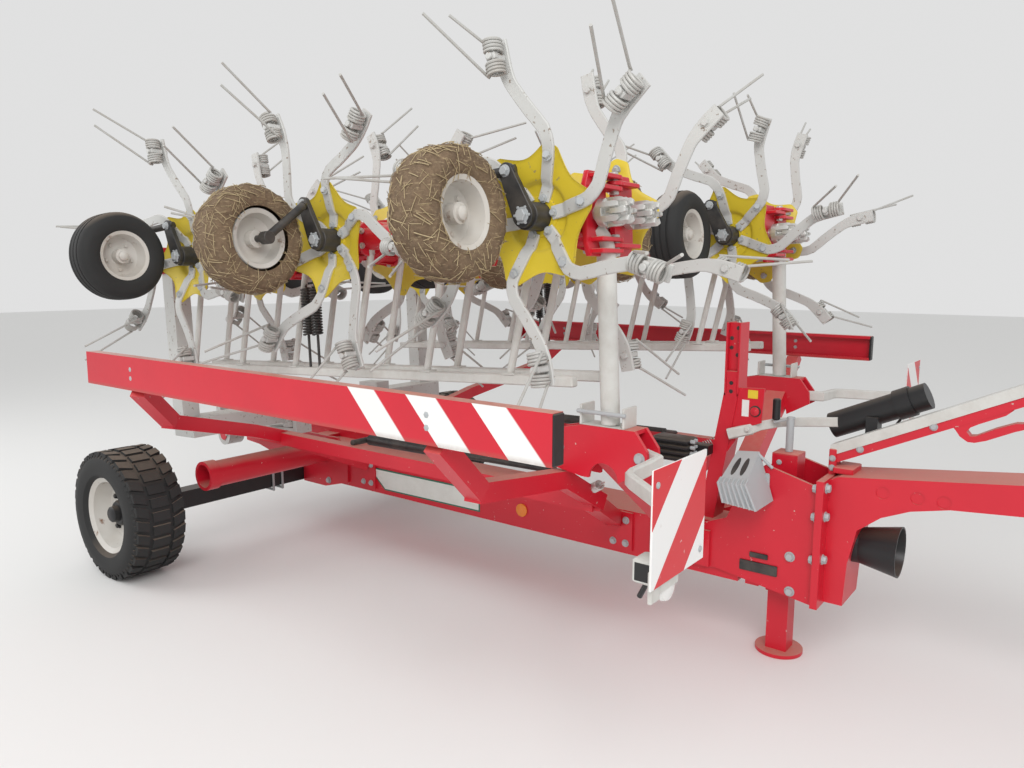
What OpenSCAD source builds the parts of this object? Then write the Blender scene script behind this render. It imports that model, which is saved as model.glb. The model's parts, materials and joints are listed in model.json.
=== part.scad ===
// Trailed twelve-rotor hay tedder, parked with its wings folded for the road.
// Millimetres. X points to the drawbar, Y to the machine's left, Z up.
// The origin is on the ground, below the middle of the whole length and width.
// The pieces are drawn from the front end of the side panels and moved there at the end.

/* [Chassis] */
// Height of the main beam
beam_h = 190; // [160:1:210]
// Width of the main beam
beam_w = 260; // [200:1:280]
// Height of the beam's underside above the ground
beam_z = 290; // [280:1:310]
// Thickness of the big side plates
plate_t = 14; // [8:1:18]
// Height of the front box plates at the chocks
box_h = 480; // [440:1:520]
// Width of the bolted front flange
flange_w = 340; // [320:1:380]
// Outer diameter of the red cross tubes
cross_d = 130; // [100:1:150]
// Side of the square axle beam
axle_s = 90; // [70:1:100]

/* [Transport wheels] */
// Diameter of the transport tyres
road_d = 626; // [600:1:660]
// Width of the transport tyres
road_w = 270; // [220:1:290]
// Distance between the middles of the transport tyres
track = 2320; // [2280:1:2360]

/* [Drawbar and jack] */
// Width of the drawbar
draw_w = 200; // [160:1:240]
// Distance from the origin to the hitch eye
hitch_x = 2300; // [2100:1:2500]
// Height of the hitch eye above the ground
hitch_z = 520; // [450:1:560]
// Bore of the hitch eye
hitch_bore = 51; // [40:1:60]
// Side of the jack's outer tube
jack_s = 96; // [90:1:104]
// Wall of the jack's outer tube
jack_wall = 7; // [5:1:8]
// Diameter of the jack's foot plate
foot_d = 180; // [150:1:220]

/* [Side panels] */
// Length of the side panels
panel_l = 2315; // [2200:1:2400]
// Height of the side panels
panel_h = 130; // [110:1:140]
// Thickness of the side panels
panel_t = 45; // [40:1:50]
// Overall width over the side panels
panels_w = 3000; // [2980:1:3040]
// Side of the square panel carriers
carrier_s = 60; // [45:1:70]

/* [Wings] */
// Distance between neighbouring rotor axles
pitch = 990; // [980:1:1000]
// Diameter of the round toolbars
bar_s = 90; // [80:1:100]
// Distance from the fold line between two toolbars to each toolbar's middle
bar_gap = 85; // [80:1:90]
// Height of the rotor axles in the upright wing
rotor_z = 1503; // [1490:1:1520]
// Diameter of the fixed rotor hubs
hub_d = 90; // [80:1:96]
// Forward tilt left between the folded wings and the upright, in degrees
lean = 3; // [3:0.5:4]

/* [Rotors] */
// Radius to the corners of the star disc, where the arms leave it
star_r = 222; // [210:1:230]
// Radius to the middle of the disc's hollow edges
waist_r = 178; // [165:1:190]
// Radius of the outer arm bolts
bolt_r = 187; // [180:1:195]
// Depth of the dish in the star disc
dish = 56; // [50:1:60]
// Thickness of the disc's sheet
sheet_t = 5; // [4:0.5:7]
// Radius to the middle of the double spring coils
coil_r = 474; // [465:1:485]
// Outer diameter of the spring coils
coil_d = 66; // [56:1:70]
// Diameter of the tine wire
wire_d = 10; // [8:0.5:11]
// Radius to the tips of the tines
tip_r = 592; // [570:1:610]
// Depth of the tips below the disc's rim
tip_low = 220; // [200:1:240]
// Width of the flat rotor arms
arm_w = 42; // [36:1:48]
// Thickness of the flat rotor arms
arm_t = 12; // [10:1:14]

/* [Rotor wheels] */
// Diameter of the rotor tyres
tyre_d = 385; // [375:1:395]
// Width of the rotor tyres
tyre_w = 150; // [140:1:155]
// Sideways place of the rotor wheels beside the rotor axle
wheel_side = 110; // [100:1:120]
// Diameter of the rotor wheel spindles
spindle_d = 25; // [20:1:30]
// Thickness of the levers that carry the wheel legs
lever_t = 22; // [18:1:24]

/* [Hidden] */
$fn = 48;
red = [0.76, 0.06, 0.09];
yellow = [0.9, 0.78, 0.16];
grey = [0.78, 0.78, 0.76];
dark = [0.12, 0.12, 0.13];
zinc = [0.62, 0.64, 0.65];
white = [0.93, 0.93, 0.92];
fit = 0.05;

beam_top = beam_z + beam_h;
beam_side = beam_w / 2;
road_r = road_d / 2;
axle_x = -2740;
beam_rear = axle_x + axle_s / 2;
beam_front = -60;
plate_y = beam_side + plate_t;
cross_x = -2500;
cross_z = 470;
cross_end = 900;
flange_x = 226;
flange_t = 26;
draw_x = flange_x + flange_t;
drive_z = 490;
drive_r = 66;
stub_r = 17.5;

// Fold line, toolbars and rotor planes of the near wing in its upright frame
fold_y = 765;
bar_out = fold_y + bar_gap;
disc_gap = 130;
disc_out = bar_out + disc_gap;
wheel_drop = 255;
wheel_out = disc_out + wheel_drop;
front_x = -390;
rotor_xs = [for (i = [0:2]) front_x - i * pitch];
bar_front = -190;
bar_rear = rotor_xs[2] - 370;
hinge_y = 300;
hinge_x = rotor_xs[2] - (pitch / 2 - hinge_y);
tilt_z = 500;
tyre_r = tyre_d / 2;
tilt_x = tilt_z + hinge_x - (wheel_out - hinge_y) - tyre_r;
tilt_pin_r = 30;
hub_r = hub_d / 2;
gear_s = 200;
gear_h = bar_s + 40;
lever_y = 24;
lever_up = 140;
lever_back = 60;
leg_r = 16;
end_s = 130;
phase_0 = 8;
arm_low = 600;
lug_t = 30;
sleeve_r = 55;
wing_pin_r = 25;
arm_z0 = 620;
arm_z1 = 715;
lug_low = 560;
lug_high = 750;
lug_w = 100;
lug_front = hinge_x + sleeve_r + 8 + lug_t;
arm_reach = sqrt(pow(bar_out + bar_s / 2 - hinge_y, 2) + pow(hinge_x - bar_rear, 2));
frame_front = hinge_x - arm_reach - 9;
rail_z = 975;

// From the front end of the side panels to the middle of the whole length
tilt_boss_r = 60;
eye_r = 62;
mid_x = (hitch_x + eye_r + tilt_x - tilt_boss_r) / 2;

cradle_x = -270;
cradle_z = 985;
cradle_out = -845;
cradle_t = 14;
cradle_in = -770;
post_r = 31;
jack_x = 70;
jack_top = 800;
leg_s = jack_s - 2 * jack_wall - 1;

SIDES = [["right", -1], ["left", 1]];
COLUMNS = [["a", -1, 1], ["b", -1, -1], ["c", 1, -1], ["d", 1, 1]];

// A square bar between two points
module bar(p, q, w, h) {
    v = q - p;
    l = norm(v);
    translate(p) rotate([0, acos(v[2] / l), atan2(v[1], v[0])])
        translate([-h / 2, -w / 2, 0]) cube([h, w, l]);
}

// A round rod between two points
module rod(p, q, r) {
    v = q - p;
    l = norm(v);
    translate(p) rotate([0, acos(v[2] / l), atan2(v[1], v[0])]) cylinder(r = r, h = l, $fn = 24);
}

// A plate in the XZ plane between two Y values
module plate_xz(points, y0, y1) {
    translate([0, y1, 0]) rotate([90, 0, 0]) linear_extrude(y1 - y0) polygon(points);
}

// A round bar along Y
module y_bar(x, z, r, y0, y1) {
    translate([x, y0, z]) rotate([-90, 0, 0]) cylinder(r = r, h = y1 - y0);
}

// Moves what is drawn from the panels' front end to the middle of the length
module placed() {
    translate([-mid_x, 0, 0]) children();
}

module box(x0, x1, y0, y1, z0, z1) {
    translate([x0, y0, z0]) cube([x1 - x0, y1 - y0, z1 - z0]);
}

// The near side as drawn for -1, mirrored across the centre plane for 1
module on_side(side) {
    mirror([0, side > 0 ? 1 : 0, 0]) children();
}

// What hangs on the tilt pivot is drawn upright and leans forward by the rest angle
module leaning() {
    translate([tilt_x, 0, tilt_z]) rotate([0, -lean, 0]) translate([-tilt_x, 0, -tilt_z]) children();
}

// A toolbar column: outer ones stand as drawn, inner ones are mirrored across the fold line
module column(side, outer) {
    leaning() on_side(side)
        if (outer > 0) children();
        else translate([0, -fold_y, 0]) mirror([0, 1, 0]) translate([0, fold_y, 0]) children();
}

module main_beam() {
    color(red) difference() {
        box(beam_rear, beam_front, -beam_side, beam_side, beam_z, beam_top);
        box(beam_rear - 1, beam_front + 1, -beam_side + 10, beam_side - 10, beam_z + 10, beam_top - 10);
    }
}

// Plates that carry the axle, the cross tubes and the tilt pivot
module rear_bracket() {
    lug_x = tilt_x - 60;
    axle_top = road_r + axle_s / 2;
    color(red) {
        for (s = [-1, 1])
            plate_xz([[lug_x, tilt_z - 70], [lug_x, tilt_z + 60], [lug_x + 120, tilt_z + 75],
                [cross_x - 100, 555], [cross_x + 110, 555], [cross_x + 190, beam_top - 20],
                [cross_x + 190, beam_z + 20], [cross_x, beam_z - 30], [beam_rear + 0, beam_z - 30],
                [beam_rear + 0, axle_top], [axle_x - axle_s / 2, axle_top], [axle_x - 120, axle_top],
                [lug_x + 130, tilt_z - 80]],
                s > 0 ? beam_side : -plate_y, s > 0 ? plate_y : -beam_side);
        difference() {
            box(axle_x - 60, beam_rear, -beam_side, beam_side, axle_top, beam_top + 20);
            box(axle_x - 45, beam_rear + 1, -beam_side + 15, beam_side - 15, axle_top + 12, beam_top);
        }
        y_bar(tilt_x, tilt_z, tilt_pin_r, -345, 345);
    }
}

// The pair of big plates at the front with the bolted flange
module front_box() {
    top_x = 32;
    color(red) {
        for (s = [-1, 1])
            difference() {
                plate_xz([[-430, beam_z], [-430, beam_top], [-230, beam_top + 10], [-110, beam_top + 60],
                    [-40, beam_z + box_h - 60], [top_x, beam_z + box_h], [flange_x, beam_z + box_h - 55],
                    [flange_x, beam_z - 20], [-150, beam_z + 40]],
                    s > 0 ? beam_side : -plate_y, s > 0 ? plate_y : -beam_side);
            }
        box(-30, jack_x - jack_s / 2, -beam_side, beam_side, beam_z, beam_z + 400);
        difference() {
            box(flange_x, draw_x, -flange_w / 2, flange_w / 2, beam_z - 20, 745);
            translate([flange_x - 1, 0, drive_z]) rotate([0, 90, 0]) cylinder(r = 60, h = flange_t + 2);
        }
    }
}

// What lies below the drawbar's upper face, to cut the feet of the pieces that stand on it
module drawbar_top() {
    plate_xz([[draw_x - 20, 500], [draw_x - 20, 740], [draw_x, 740], [draw_x + 30, 755], [1000, 835],
        [1300, 830], [1300, 500]], -draw_w, draw_w);
}

// The drawbar climbs over the drive shaft and comes down to the hitch
module drawbar() {
    w = draw_w / 2;
    color(red) difference() {
        plate_xz([[draw_x, 280], [draw_x, 740], [draw_x + 30, 755], [1000, 835], [1300, 830],
            [hitch_x - 120, hitch_z + 75], [hitch_x - 120, hitch_z - 75], [1300, 690], [1000, 728],
            [640, 700], [520, 672], [430, 632], [354, 570], [328, 440], [320, 280]], -w, w);
        translate([draw_x - 1, 0, drive_z]) rotate([0, 90, 0]) cylinder(r = drive_r + 1, h = 110);
        for (x = [430, 540, 620])
            for (s = [-1, 1])
                y_bar(x, 722, 22, s > 0 ? w - 4 : -w - 1, s > 0 ? w + 1 : -w + 4);
    }
}

module hitch_eye() {
    color(dark) difference() {
        union() {
            translate([hitch_x, 0, hitch_z - 22]) cylinder(r = eye_r, h = 44);
            box(hitch_x - 100, hitch_x - 40, -40, 40, hitch_z - 22, hitch_z + 22);
            box(hitch_x - 120, hitch_x - 100, -80, 80, hitch_z - 70, hitch_z + 70);
        }
        translate([hitch_x, 0, hitch_z - 23]) cylinder(r = hitch_bore / 2, h = 46);
    }
}

// Black drive housing below the arch with the splined input stub
module gearbox_cover() {
    base_x = draw_x + 100;
    color(dark) translate([0, 0, drive_z]) rotate([0, 90, 0]) {
        difference() {
            translate([0, 0, base_x]) cylinder(r1 = drive_r, r2 = 92, h = 130);
            translate([0, 0, base_x + 8]) cylinder(r1 = drive_r - 8, r2 = 86, h = 123);
        }
        translate([0, 0, draw_x]) cylinder(r = drive_r, h = 100);
        translate([0, 0, base_x]) cylinder(r = stub_r, h = 112);
    }
}

module jack_tube() {
    s = jack_s / 2;
    i = s - jack_wall;
    color(red) difference() {
        union() {
            box(jack_x - s, jack_x + s, -s, s, 250, jack_top);
        }
        box(jack_x - i, jack_x + i, -i, i, 249, jack_top - 12);
    }
    color(zinc) translate([jack_x, 0, jack_top]) cylinder(r = 14, h = 290);
}

module jack_leg() {
    s = leg_s / 2;
    color(red) {
        difference() {
            box(jack_x - s, jack_x + s, -s, s, 14, 480);
            box(jack_x - s + 6, jack_x + s - 6, -s + 6, s - 6, 13, 481);
        }
        translate([jack_x, 0, 0]) cylinder(r = foot_d / 2, h = 14);
    }
}

module axle_beam() {
    half = track / 2 - road_w / 2 - 35;
    color(dark) {
        box(axle_x - axle_s / 2, beam_rear, -half, half, road_r - axle_s / 2, road_r + axle_s / 2);
        y_bar(axle_x, road_r, 30, -track / 2 - 60, track / 2 + 60);
    }
}

module cross_tube(side) {
    r = cross_d / 2;
    color(red) on_side(side) difference() {
        union() {
            y_bar(cross_x, cross_z, r, -cross_end, -plate_y);
            y_bar(cross_x, cross_z, r + 8, -cross_end, -cross_end + 60);
        }
        y_bar(cross_x, cross_z, r - 8, -cross_end - 1, -plate_y - 12);
    }
}

// Road wheel: a block tyre on a dished rim
module road_wheel(side) {
    y = side * track / 2;
    w = road_w / 2;
    rim = road_r * 0.58;
    on_side(side) translate([axle_x, -track / 2, road_r]) rotate([90, 0, 0]) {
        color(dark) rotate_extrude($fn = 96) polygon([[rim, -w + 30], [rim + 20, -w + 5],
            [road_r - 40, -w], [road_r - 12, -w + 25], [road_r, -w + 60], [road_r, w - 60],
            [road_r - 12, w - 25], [road_r - 40, w], [rim + 20, w - 5], [rim, w - 30]]);
        color(zinc) rotate_extrude($fn = 96) polygon([[30 + fit, -40], [70, -40], [70, 0],
            [rim - 50, 30], [rim - 20, -w + 40], [rim, -w + 30], [rim, w - 30], [rim - 16, w - 30],
            [rim - 40, 55], [90, 20], [60, 45], [30 + fit, 45]]);
    }
}

module side_panel(side) {
    color(red) on_side(side) difference() {
        box(-panel_l, 0, -panels_w / 2, -panels_w / 2 + panel_t, 1149 - panel_h, 1149);
        box(-panel_l + 3, -3, -panels_w / 2 + 3, -panels_w / 2 + panel_t + 1,
            1149 - panel_h + 15, 1134);
        box(-panel_l + 3, -3, -panels_w / 2 + 3, -panels_w / 2 + panel_t - 3,
            1149 - panel_h + 3, 1146);
    }
}

// Bent square tubes under each side panel and the long rail that joins them
module panel_carrier(side) {
    s = carrier_s;
    under = 1149 - panel_h;
    y = -panels_w / 2 + 30;
    color(red) on_side(side) difference() {
        union() {
        bar([-2450, -600, 650], [-420, -600, 650], s, s);
        bar([-395, y, under], [-395, -1300, 850], s, s);
        bar([-395, -1320, 852], [-430, -800, 780], s, s);
        bar([-430, -820, 784], [-430, -570, 645], s, s);
        bar([-1960, y, under], [-2050, -1300, 860], s, s);
        bar([-2045, -1315, 862], [-2220, -800, 720], s, s);
        bar([-2215, -820, 726], [-2280, -570, 645], s, s);
        bar([-430, -610, 650], [-600, -beam_side - 20, beam_top - 40], s, s);
        bar([-2250, -610, 650], [-2150, -beam_side - 20, beam_top - 40], s, s);
        box(-640, -520, -beam_side - 12, -beam_side, beam_z + 20, beam_top - 5);
        box(-2210, -2090, -beam_side - 12, -beam_side, beam_z + 20, beam_top - 5);
        }
        box(-2300, 0, -panels_w / 2, -panels_w / 2 + 200, under, 1149);
        box(-2300, 0, -beam_side, 0, beam_z, beam_top + 100);
    }
}

// Saddle that takes the foot of the folded wing
module cradle(side) {
    x = cradle_x;
    color(red) on_side(side) {
        for (y = [cradle_out, cradle_in])
            difference() {
                plate_xz([[x - 180, 830], [x - 175, cradle_z - 25], [x - 60, cradle_z],
                    [x + 130, cradle_z], [x + 175, cradle_z - 60], [x + 180, 870], [x + 80, 812],
                    [x - 60, 812]], y, y + cradle_t);
                y_bar(x + 20, 812, 55, y - 1, y + cradle_t + 1);
            }
        box(x - 60, x + 130, cradle_out + cradle_t, cradle_in, cradle_z - cradle_t, cradle_z);
        difference() {
            bar([x + 20, -800, 900], [x + 20, -beam_side - 20, beam_top - 60], 90, 80);
            box(x - 60, x + 100, -plate_y, 0, 0, beam_top + 200);
        }
        box(x - 60, x + 100, -plate_y - 14, -plate_y, beam_z + 40, beam_top - 5);
    }
}

// Channel-shaped middle tower
module tower() {
    color(red) {
        difference() {
            bar([-290, 0, beam_top], [-215, 0, 1288], 120, 70);
            bar([-270, 0, beam_top - 20], [-190, 0, 1300], 104, 60);
            box(-400, -200, -80, 80, beam_top - 100, beam_top);
        }
        box(-340, -240, -80, 80, beam_top, beam_top + 16);
    }
}

// Striped board with its lamp and bent bracket
module warning_board(side) {
    color(white) on_side(side) {
        box(238, 242, -1455, -1172, 760, 1042);
        box(220, 238, -1400, -1360, 700, 900);
        box(205, 238, -1440, -1300, 690, 750);
    }
    color(grey) on_side(side) {
        difference() {
            bar([cradle_x + 130, -800, 900], [120, -1050, 910], 40, 40);
            box(cradle_x, 0, cradle_out, -700, 800, 1000);
        }
        bar([110, -1040, 910], [225, -1320, 880], 40, 40);
        box(cradle_x + 130, cradle_x + 170, cradle_out - 12, cradle_out, 870, 925);
    }
}

module chocks() {
    color(zinc) for (y = [-235, -330])
        plate_xz([[-75, 660], [95, 640], [70, 810], [-10, 830], [-60, 790]], y, y + 80);
    color(zinc) box(-40, 60, -plate_y - 10, -plate_y, 640, 740);
    color(zinc) box(-40, 60, -330, -plate_y - 10, 632, 662);
}

// Slotted arm above the drawbar that carries the supply lines
module link_arm() {
    color(red) {
        difference() {
            plate_xz([[265, 765], [200, 800], [205, 850], [1400, 1420], [1440, 1350], [1040, 1140],
                [1060, 1080], [700, 900]], -30, 30);
            drawbar_top();
        }
        difference() {
            box(draw_x + 10, draw_x + 80, -60, 60, 740, 800);
            drawbar_top();
        }
    }
}

module document_tube() {
    color(dark) {
        rod([200, 90, 905], [520, 90, 1050], 48);
        rod([420, 90, 1004.7], [470, 90, 1027.3], 55);
    }
    color(dark) box(330, 370, 30, 100, 880, 960);
}

// Yoke between the tilt pivot on the chassis and the two wing hinges
module tilt_frame() {
    color(grey) leaning() {
        for (s = SIDES) on_side(s[1]) difference() {
            union() {
                y_bar(tilt_x, tilt_z, tilt_boss_r, -340, -240);
                box(tilt_x - 45, frame_front, -hinge_y - lug_w / 2, -hinge_y + lug_w / 2, tilt_z, lug_high);
                box(tilt_x - 45, tilt_x + 45, -hinge_y - lug_w / 2, -hinge_y + lug_w / 2, tilt_z,
                    lug_low + lug_t);
                box(tilt_x, lug_front, -hinge_y - lug_w / 2, -hinge_y + lug_w / 2, lug_low, lug_low + lug_t);
                box(hinge_x - 60, lug_front, -hinge_y - lug_w / 2, -hinge_y + lug_w / 2, lug_high,
                    lug_high + lug_t);
                box(lug_front - lug_t, lug_front, -hinge_y - lug_w / 2, -hinge_y + lug_w / 2, lug_low,
                    lug_high + lug_t);
                translate([hinge_x, -hinge_y, lug_low]) cylinder(r = wing_pin_r, h = lug_high - lug_low);
            }
            y_bar(tilt_x, tilt_z, tilt_pin_r + fit, -hinge_y - lug_w / 2 - 1, -239);
        }
        box(tilt_x - 45, frame_front, -hinge_y, hinge_y, lug_high - 40, lug_high);
    }
}

// Elbow from the wing hinge out to the foot of the outer toolbar
module wing_arm(side) {
    x0 = bar_rear;
    color(grey) leaning() on_side(side) difference() {
        union() {
            translate([hinge_x, -hinge_y, lug_low + lug_t + 3])
                cylinder(r = sleeve_r, h = lug_high - lug_low - lug_t - 6);
            box(x0, hinge_x, -bar_out - bar_s / 2, -hinge_y, arm_z0, arm_z1);
            box(x0, x0 + bar_s, -bar_out - bar_s / 2, -bar_out + bar_s / 2, arm_z0,
                rotor_z - end_s / 2);
        }
        translate([hinge_x, -hinge_y, lug_low]) cylinder(r = wing_pin_r + fit, h = lug_high);
    }
}

// A round bar along X
module x_bar(x0, x1, y, z, r) {
    translate([x0, y, z]) rotate([0, 90, 0]) cylinder(r = r, h = x1 - x0);
}

// Angle housing of one rotor, clamped between the toolbar's tubes
module gearbox(x, y, face) {
    r = gear_s / 2;
    translate([x, face, rotor_z]) rotate([-90, 0, 0]) {
        cylinder(r = r, h = 16);
        cylinder(r = r - 14, h = gear_h - 20);
        cylinder(r = r - 40, h = gear_h - 2);
    }
    for (s = [-1, 1]) {
        x_bar(s < 0 ? x - r - 24 : x + r + 8, s < 0 ? x - r - 8 : x + r + 24, y, rotor_z, 68);
        x_bar(s < 0 ? x - r - 10 : x, s < 0 ? x : x + r + 10, y, rotor_z, 52);
    }
}

// Pin joint between two rotors: stacked lugs above and below the drive, on vertical pins
module knuckle(x, y) {
    half = 78;
    for (s = [-1, 1]) {
        translate([x + s * half, y, rotor_z]) rotate([0, 90, 0]) linear_extrude(16, center = true)
            polygon([[-128, -34], [-128, 34], [-96, 52], [96, 52], [128, 34], [128, -34], [96, -52], [-96, -52]]);
        for (z = s < 0 ? [-118, -84, 70, 104] : [-101, 87])
            translate([x, y, rotor_z + z]) {
                linear_extrude(14) polygon([[s * half, -40], [s * half, 40], [0, 28], [0, -28]]);
                cylinder(r = 30, h = 14);
            }
    }
}

// Drive claw: a hub with two rings of square fingers that mesh when the wing is unfolded
module claw(x, y) {
    fingers = 6;
    x_bar(x - 52, x + 66, y, rotor_z, 24);
    x_bar(x - 30, x - 4, y, rotor_z, 44);
    for (i = [0:fingers - 1]) translate([x, y, rotor_z]) rotate([i * 360 / fingers, 0, 0]) {
        translate([-8, -10, 22]) cube([58, 20, 20]);
        rotate([180 / fingers, 0, 0]) translate([24, -8, 20]) cube([52, 16, 20]);
    }
}

// Wheel leg of one rotor: hub, lever across the disc, bent bar and spindle
module wheel_leg(x, side) {
    top = [x - lever_back, -disc_out - lever_y - lever_t / 2, rotor_z + lever_up];
    leg_x = x - wheel_side + side * (tyre_w / 2 + 30);
    bend = [leg_x, -disc_out - 90, rotor_z + lever_up - 20];
    foot = [leg_x, -wheel_out, rotor_z];
    y_bar(x, rotor_z, hub_r, -disc_out - lever_y, -disc_out + 80);
    along = [top[0] - x, top[2] - rotor_z] / norm([lever_back, lever_up]);
    across = [-along[1], along[0]];
    near = -disc_out - lever_y;
    plate_xz([[x, rotor_z] + 36 * across, [top[0], top[2]] + 23 * across, [top[0], top[2]] - 23 * across,
        [x, rotor_z] - 36 * across], near - lever_t, near);
    y_bar(x, rotor_z, 38, near - lever_t, near + 4);
    y_bar(top[0], top[2], 26, near - lever_t, near);
    rod(top, bend, leg_r);
    rod(bend, foot, leg_r);
    translate(bend) sphere(leg_r + 2);
    x_bar(side > 0 ? x - wheel_side - tyre_w / 2 + 20 : leg_x - 20,
        side > 0 ? leg_x + 20 : x - wheel_side + tyre_w / 2 - 20, -wheel_out, rotor_z, spindle_d / 2);
    x_bar(leg_x - 20, leg_x + 20, -wheel_out, rotor_z, 24);
}

// Toolbar with the gearboxes, pin joint, drive claw, wheel legs and guard of three rotors
module toolbar(side, outer) {
    y = -bar_out;
    face = -disc_out + 75;
    lug_z = outer > 0 ? [-122, -86, 72, 108] : [-104, 90];
    column(side, outer) {
        color(red) {
            x_bar(bar_rear, bar_front - 60, y, rotor_z, bar_s / 2);
            box(bar_rear, bar_rear + 30, y - end_s / 2, y + end_s / 2, rotor_z - end_s / 2, rotor_z + end_s / 2);
            for (x = rotor_xs) gearbox(x, y, face);
            for (i = [0:1]) knuckle(rotor_xs[i] - pitch / 2, y);
            // Fold hinge at the front end: lugs on one vertical pin line between the two toolbars
            translate([bar_front - 60, y, rotor_z]) rotate([0, 90, 0]) linear_extrude(18)
                polygon([[-130, -40], [-130, 60], [130, 60], [130, -40], [90, -58], [-90, -58]]);
            for (z = lug_z)
                translate([bar_front - 60, 0, rotor_z + z]) difference() {
                    union() {
                        translate([0, y - 36, 0]) cube([60, bar_gap + 30, 14]);
                        translate([34, -fold_y, 0]) cylinder(r = 26, h = 14);
                    }
                    if (outer < 0)
                        translate([34, -fold_y, -1]) cylinder(r = 14 + fit, h = 16);
                }
            if (outer > 0)
                for (z = [-132, 62])
                    translate([bar_front - 26, -fold_y, rotor_z + z]) cylinder(r = 14, h = 70);
        }
        color(zinc) {
            claw(bar_front + 4, y);
            for (i = [0:1])
                for (z = [-130, 62])
                    translate([rotor_xs[i] - pitch / 2, y, rotor_z + z]) cylinder(r = 13, h = 68);
            for (i = [0:1])
                for (dx = [-26, 10])
                    x_bar(rotor_xs[i] - pitch / 2 + dx, rotor_xs[i] - pitch / 2 + dx + 16, y, rotor_z, 58);
        }
        color(dark) for (i = [0:2]) wheel_leg(rotor_xs[i], i == 1 ? 1 : -1);
        color(grey) {
            bar([bar_rear + (outer > 0 ? bar_s : 60), y, rail_z], [-330, y, rail_z], 36, 36);
            for (x = [for (i = [0:5]) rotor_xs[2] - 200 + i * 395])
                rod([x, y, rail_z], [x + 130, y, rotor_z - bar_s / 2 + 6], 14);
            if (outer > 0)
                translate([-230, -fold_y - 35, cradle_z - 152]) cylinder(r = post_r, h = rotor_z - cradle_z + 34);
        }
    }
}

// Centre line of a rotor arm: radius, lag in degrees and height over the disc's rim
function arm_points() = let (low = -sheet_t - arm_t / 2 + 1) [
    [52, 0, dish + low], [98, 0, dish + low], [118, 0, dish - 18 + low], [bolt_r, 0, 15 + low],
    [star_r + 6, 2, 2 + low], [262, 7, -2 + low], [292, 14, -6 + low], [330, 20.5, -10 + low],
    [370, 25, -14 + low], [410, 28, -18 + low], [coil_r - 30, 29, -21 + low], [coil_r + 56, 29.5, -25 + low]];

// Flat bar swept along a list of polar points, its width lying across the radius
module arm(w, t) {
    pts = arm_points();
    n = len(pts);
    ring = [for (i = [0:n - 1]) let (
        a = pts[i],
        wide = i > n - 3 ? w * 1.25 : w,
        b = pts[max(i - 1, 0)],
        c = pts[min(i + 1, n - 1)],
        d = [c[0] * cos(-c[1]) - b[0] * cos(-b[1]), c[0] * sin(-c[1]) - b[0] * sin(-b[1])],
        m = d / norm(d),
        o = [a[0] * cos(-a[1]), a[0] * sin(-a[1])])
        for (k = [[-1, -1], [1, -1], [1, 1], [-1, 1]])
            [o[0] - m[1] * k[0] * wide / 2, o[1] + m[0] * k[0] * wide / 2, a[2] + k[1] * t / 2]];
    last = 4 * n - 4;
    polyhedron(ring, concat([[0, 1, 2], [0, 2, 3]],
        [for (i = [0:n - 2]) for (k = [0:3]) for (half = [0, 1])
            let (p = i * 4 + k, q = i * 4 + (k + 1) % 4)
                half == 0 ? [p, p + 4, q + 4] : [p, q + 4, q]],
        [[last + 3, last + 2, last + 1], [last + 3, last + 1, last]]));
}

// Double coil spring tine: two coils along the arm's end, their wires running down and outwards
module tine() {
    r = coil_d / 2;
    seat = arm_points()[11][2] - arm_t / 2;
    reach = 31;
    rotate([0, 0, -29.5]) {
        for (s = [-1, 1]) {
            translate([coil_r + s * reach, 0, seat - r + 1]) rotate([0, 90, 0]) rotate_extrude($fn = 24)
                polygon([[r - wire_d, -24], [r, -19], [r - 2, -13], [r, -7], [r - 2, -1], [r, 5],
                    [r - 2, 11], [r, 17], [r - wire_d, 24]]);
            rod([coil_r + s * (reach + 18), -r + wire_d / 2, seat - r],
                [tip_r - 12 + s * 12, -58 - s * 8, -tip_low], wire_d / 2);
        }
        translate([coil_r - 8, -r + 8, seat - coil_d + 6]) cube([16, coil_d - 16, coil_d - 2]);
    }
}

// Rotor: dished six-point star, six curved arms and six double tines
module rotor(chirality, phase) {
    rim = star_r + 12;
    tooth = 7;
    rotate([0, 0, phase]) mirror([0, chirality > 0 ? 0 : 1, 0]) {
        color(yellow) difference() {
            union() {
                intersection() {
                    rotate_extrude($fn = 72) polygon([[hub_r + 1, dish - sheet_t], [100, dish - sheet_t],
                        [112, dish - 18 - sheet_t], [rim, -sheet_t], [rim, 0], [116, dish - 18],
                        [104, dish], [hub_r + 1, dish]]);
                    linear_extrude(400, center = true) polygon([for (i = [0:5]) for (k = [0:8])
                        let (at = tooth + k * (60 - 2 * tooth) / 8,
                            away = (at - 30) / (30 - tooth),
                            r = waist_r + (star_r - waist_r) * away * away)
                        [r * cos(60 * i + at), r * sin(60 * i + at)]]);
                }
                translate([0, 0, dish - sheet_t - 6]) cylinder(r = 66, h = 24);
            }
            translate([0, 0, -60]) cylinder(r = hub_r + fit, h = 180);
        }
        color(grey) for (i = [0:5]) rotate([0, 0, 60 * i]) {
            arm(arm_w, arm_t);
            tine();
        }
    }
}

module place_rotor(c, i) {
    col = COLUMNS[c];
    turn = i % 2 == 0 ? 1 : -1;
    column(col[1], col[2]) translate([rotor_xs[i], -disc_out, rotor_z]) rotate([-90, 0, 0])
        rotor(turn, (i % 2 == 0 ? -phase_0 : 30 + phase_0) + (col[1] > 0 ? 30 : 0));
}

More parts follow.
